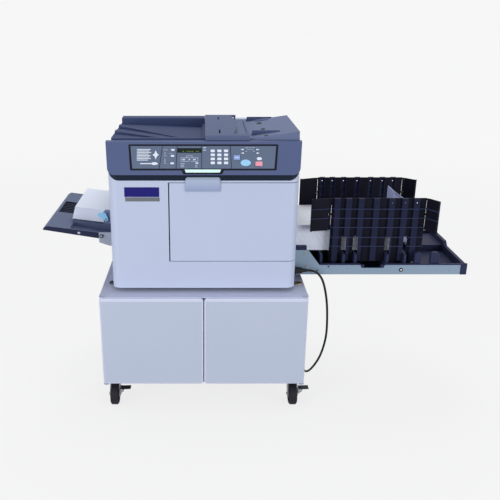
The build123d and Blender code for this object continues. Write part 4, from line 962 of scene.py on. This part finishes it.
def paper_stock(name, colour, shade, lines, jogged=0.0):
    """Cut paper: bright on top, with fine darker lines between sheets on its sides.

    A jogged stack also has the uneven slanting teeth of sheets that were dropped on it.
    """
    stock = Finish(name)
    upright = stock.noise(2, detail=4, vector=stock.stretched((3, 3, lines)), rough=0.7)
    if jogged:
        slant = stock.node("ShaderNodeCombineXYZ", sockets={
            0: stock.along(0) * 0.86 + stock.along(2) * 0.5})
        teeth = stock.noise(190, detail=1, vector=slant)
        upright = upright * (1 - jogged) + (teeth - 0.4) * (3.2 * jogged)
    fibre = stock.noise(500, detail=2)
    facing = stock.node("ShaderNodeNewGeometry", out="Normal")
    rise = abs(stock.node("ShaderNodeSeparateXYZ", sockets={0: facing}, out=2))
    sides = (1 - rise) * upright
    return stock.surface(
        stock.mix(sides * 0.9 + fibre * 0.06, colour, shade), 0.75, stock.bump(fibre, 0.00005))


blank_stock = paper_stock("blank_paper", tone(232, 238, 250), tone(196, 202, 228), 900)
feed_left, feed_length = -0.4585, 0.364
feed_layers = 72
feed_lean = 0.012
blank_base = sheet_block(
    feed_left, feed_left + feed_length, -0.1112, 0.1452, 0.6507, feed_slope)
blank_paper = pile.grow("blank_paper", blank_base, {
    "Count": feed_layers, "Step": (feed_lean / feed_layers, 0, bundle),
    "Shuffle": (0.0007, 0.0002, 0), "Seed": 4, "Material": blank_stock})
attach(blank_paper, "feed_tray")
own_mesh(blank_paper)

ring_black = rubbery("washer_black", tone(22, 24, 32), tone(14, 16, 24))
screw_out = Vector((0, -1, 0))
screw_proud = 0.0016
washer_thickness = 0.0011


def screw_head(name, centre, radius, body, material, washer=0.0):
    """A domed screw that faces the front, seated on a face, or on a black washer there."""
    if washer:
        seat = turned(name + "_washer", (
            (washer, 0.0), (washer, 0.0008), (washer * 0.9, washer_thickness),
            (0, washer_thickness)), centre, screw_out, ring_black, 24)
        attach(seat, body)
        centre = Vector(centre) + screw_out * washer_thickness
    form = turned(name, (
        (radius, 0.0), (radius, screw_proud * 0.35), (radius * 0.86, screw_proud * 0.8),
        (radius * 0.5, screw_proud), (radius * 0.3, screw_proud),
        (radius * 0.16, screw_proud * 0.3), (0, screw_proud * 0.3)),
        centre, screw_out, material, 20)
    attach(form, body)


screw_head("tray_pivot_screw", (-0.345, -0.211, 0.619), 0.0034, "feed_tray", zinc, 0.0066)
screw_head("tray_rim_screw", (-0.421, -0.205, 0.6285), 0.0048, "feed_tray", zinc)

# Delivery tray: black moulding in two painted steel channels, with ribbed jogging fences,
# their end flaps, and a pale end stop. Printed sheets lie against the stop.

deck_plastic = moulded("deck_plastic", tone(42, 47, 76), tone(34, 39, 66), shine=0.15)
wear("delivery_deck", deck_plastic)
channel_half = 0.010
rib_half = 0.0013


def jogger(name, ribs=(), channels=(), outside=0.0):
    """Black moulding with a painted highlight on its channels, and lighter lines on its
    cross ribs that are partly wear and partly painted highlight.

    The ribs' lines lie on faces that lie further from the paper's middle than outside.
    """
    plastic = Finish(name)
    across, depth, height = (plastic.along(axis) for axis in range(3))
    spark = spark_texture(plastic)
    face = plastic.mix(spark, tone(17, 18, 31), tone(12, 13, 25))
    # The channels get a painted highlight, where they catch the light.
    if channels:
        near = any_of(abs(across - centre) < channel_half for centre in channels)
        face = plastic.mix(near, face, plastic.mix(spark, tone(32, 36, 59), tone(26, 30, 53)))
    # The rib lines are partly wear and partly painted highlight.
    if ribs:
        rib_wear_and_highlight = any_of(abs(height - rib) < rib_half for rib in ribs)
        rib_wear_and_highlight = rib_wear_and_highlight * (abs(depth - paper_middle) > outside)
        face = plastic.mix(rib_wear_and_highlight, face, tone(50, 56, 86))
    return plastic.surface(
        face, 0.52 + spark * 0.12, plastic.bump(spark, 0.00006), specular_ior_level=0.08)


fence_skin = jogger("fence_plastic", (0.559, 0.592, 0.628, 0.661, 0.694),
                    (0.458, 0.497, 0.540, 0.593, 0.645, 0.690, 0.730), outside=0.1545)
front_flap_skin = jogger("flap_ribbed", (0.661, 0.694))
rear_flap_skin = jogger("flap_plain")
for side, flap_skin in (("front", front_flap_skin), ("rear", rear_flap_skin)):
    wear("fence_" + side, fence_skin)
    for end in ("left", "right"):
        wear(f"flap_{side}_{end}", flap_skin)
wear("end_stop", moulded("stop_plastic", tone(150, 156, 190), tone(140, 146, 182)))

printed_stock = paper_stock("printed_paper", tone(246, 250, 255), tone(206, 214, 244), 700, 0.6)
printed_base = sheet_block(0.3125, 0.6745, -0.1125, 0.142, 0.5343, 0.0)
printed_layers = 156
printed_paper = pile.grow("printed_paper", printed_base, {
    "Count": printed_layers, "Step": (0, 0, bundle), "Shuffle": (0.0011, 0.0006, 0), "Seed": 9,
    "Material": printed_stock})
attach(printed_paper, "machine")
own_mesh(printed_paper)

# Fasteners of the front steel channel: brass and plated screws, black plugs, a painted
# rivet, and a bolt on a black washer.

brass = brushed("screw_brass", tone(178, 158, 110), tone(146, 128, 86), (300, 300, 300), 0.36)
frame_face = -0.172
for name, x, z, radius, skin, washer in (
        ("frame_screw_top", 0.349, 0.543, 0.0034, brass, 0.0),
        ("frame_screw_low", 0.358, 0.494, 0.0034, brass, 0.0),
        ("frame_screw_mid", 0.368, 0.534, 0.0026, zinc, 0.0),
        ("frame_plug_near", 0.397, 0.480, 0.0028, ring_black, 0.0),
        ("frame_plug_far", 0.435, 0.494, 0.0028, ring_black, 0.0),
        ("frame_rivet", 0.501, 0.489, 0.0032, channel_paint, 0.0),
        ("frame_bolt", 0.689, 0.482, 0.0038, turned_steel, 0.0072),
        ("frame_screw_end", 0.859, 0.481, 0.0040, channel_paint, 0.0)):
    screw_head(name, (x, frame_face, z), radius, "machine", skin, washer)
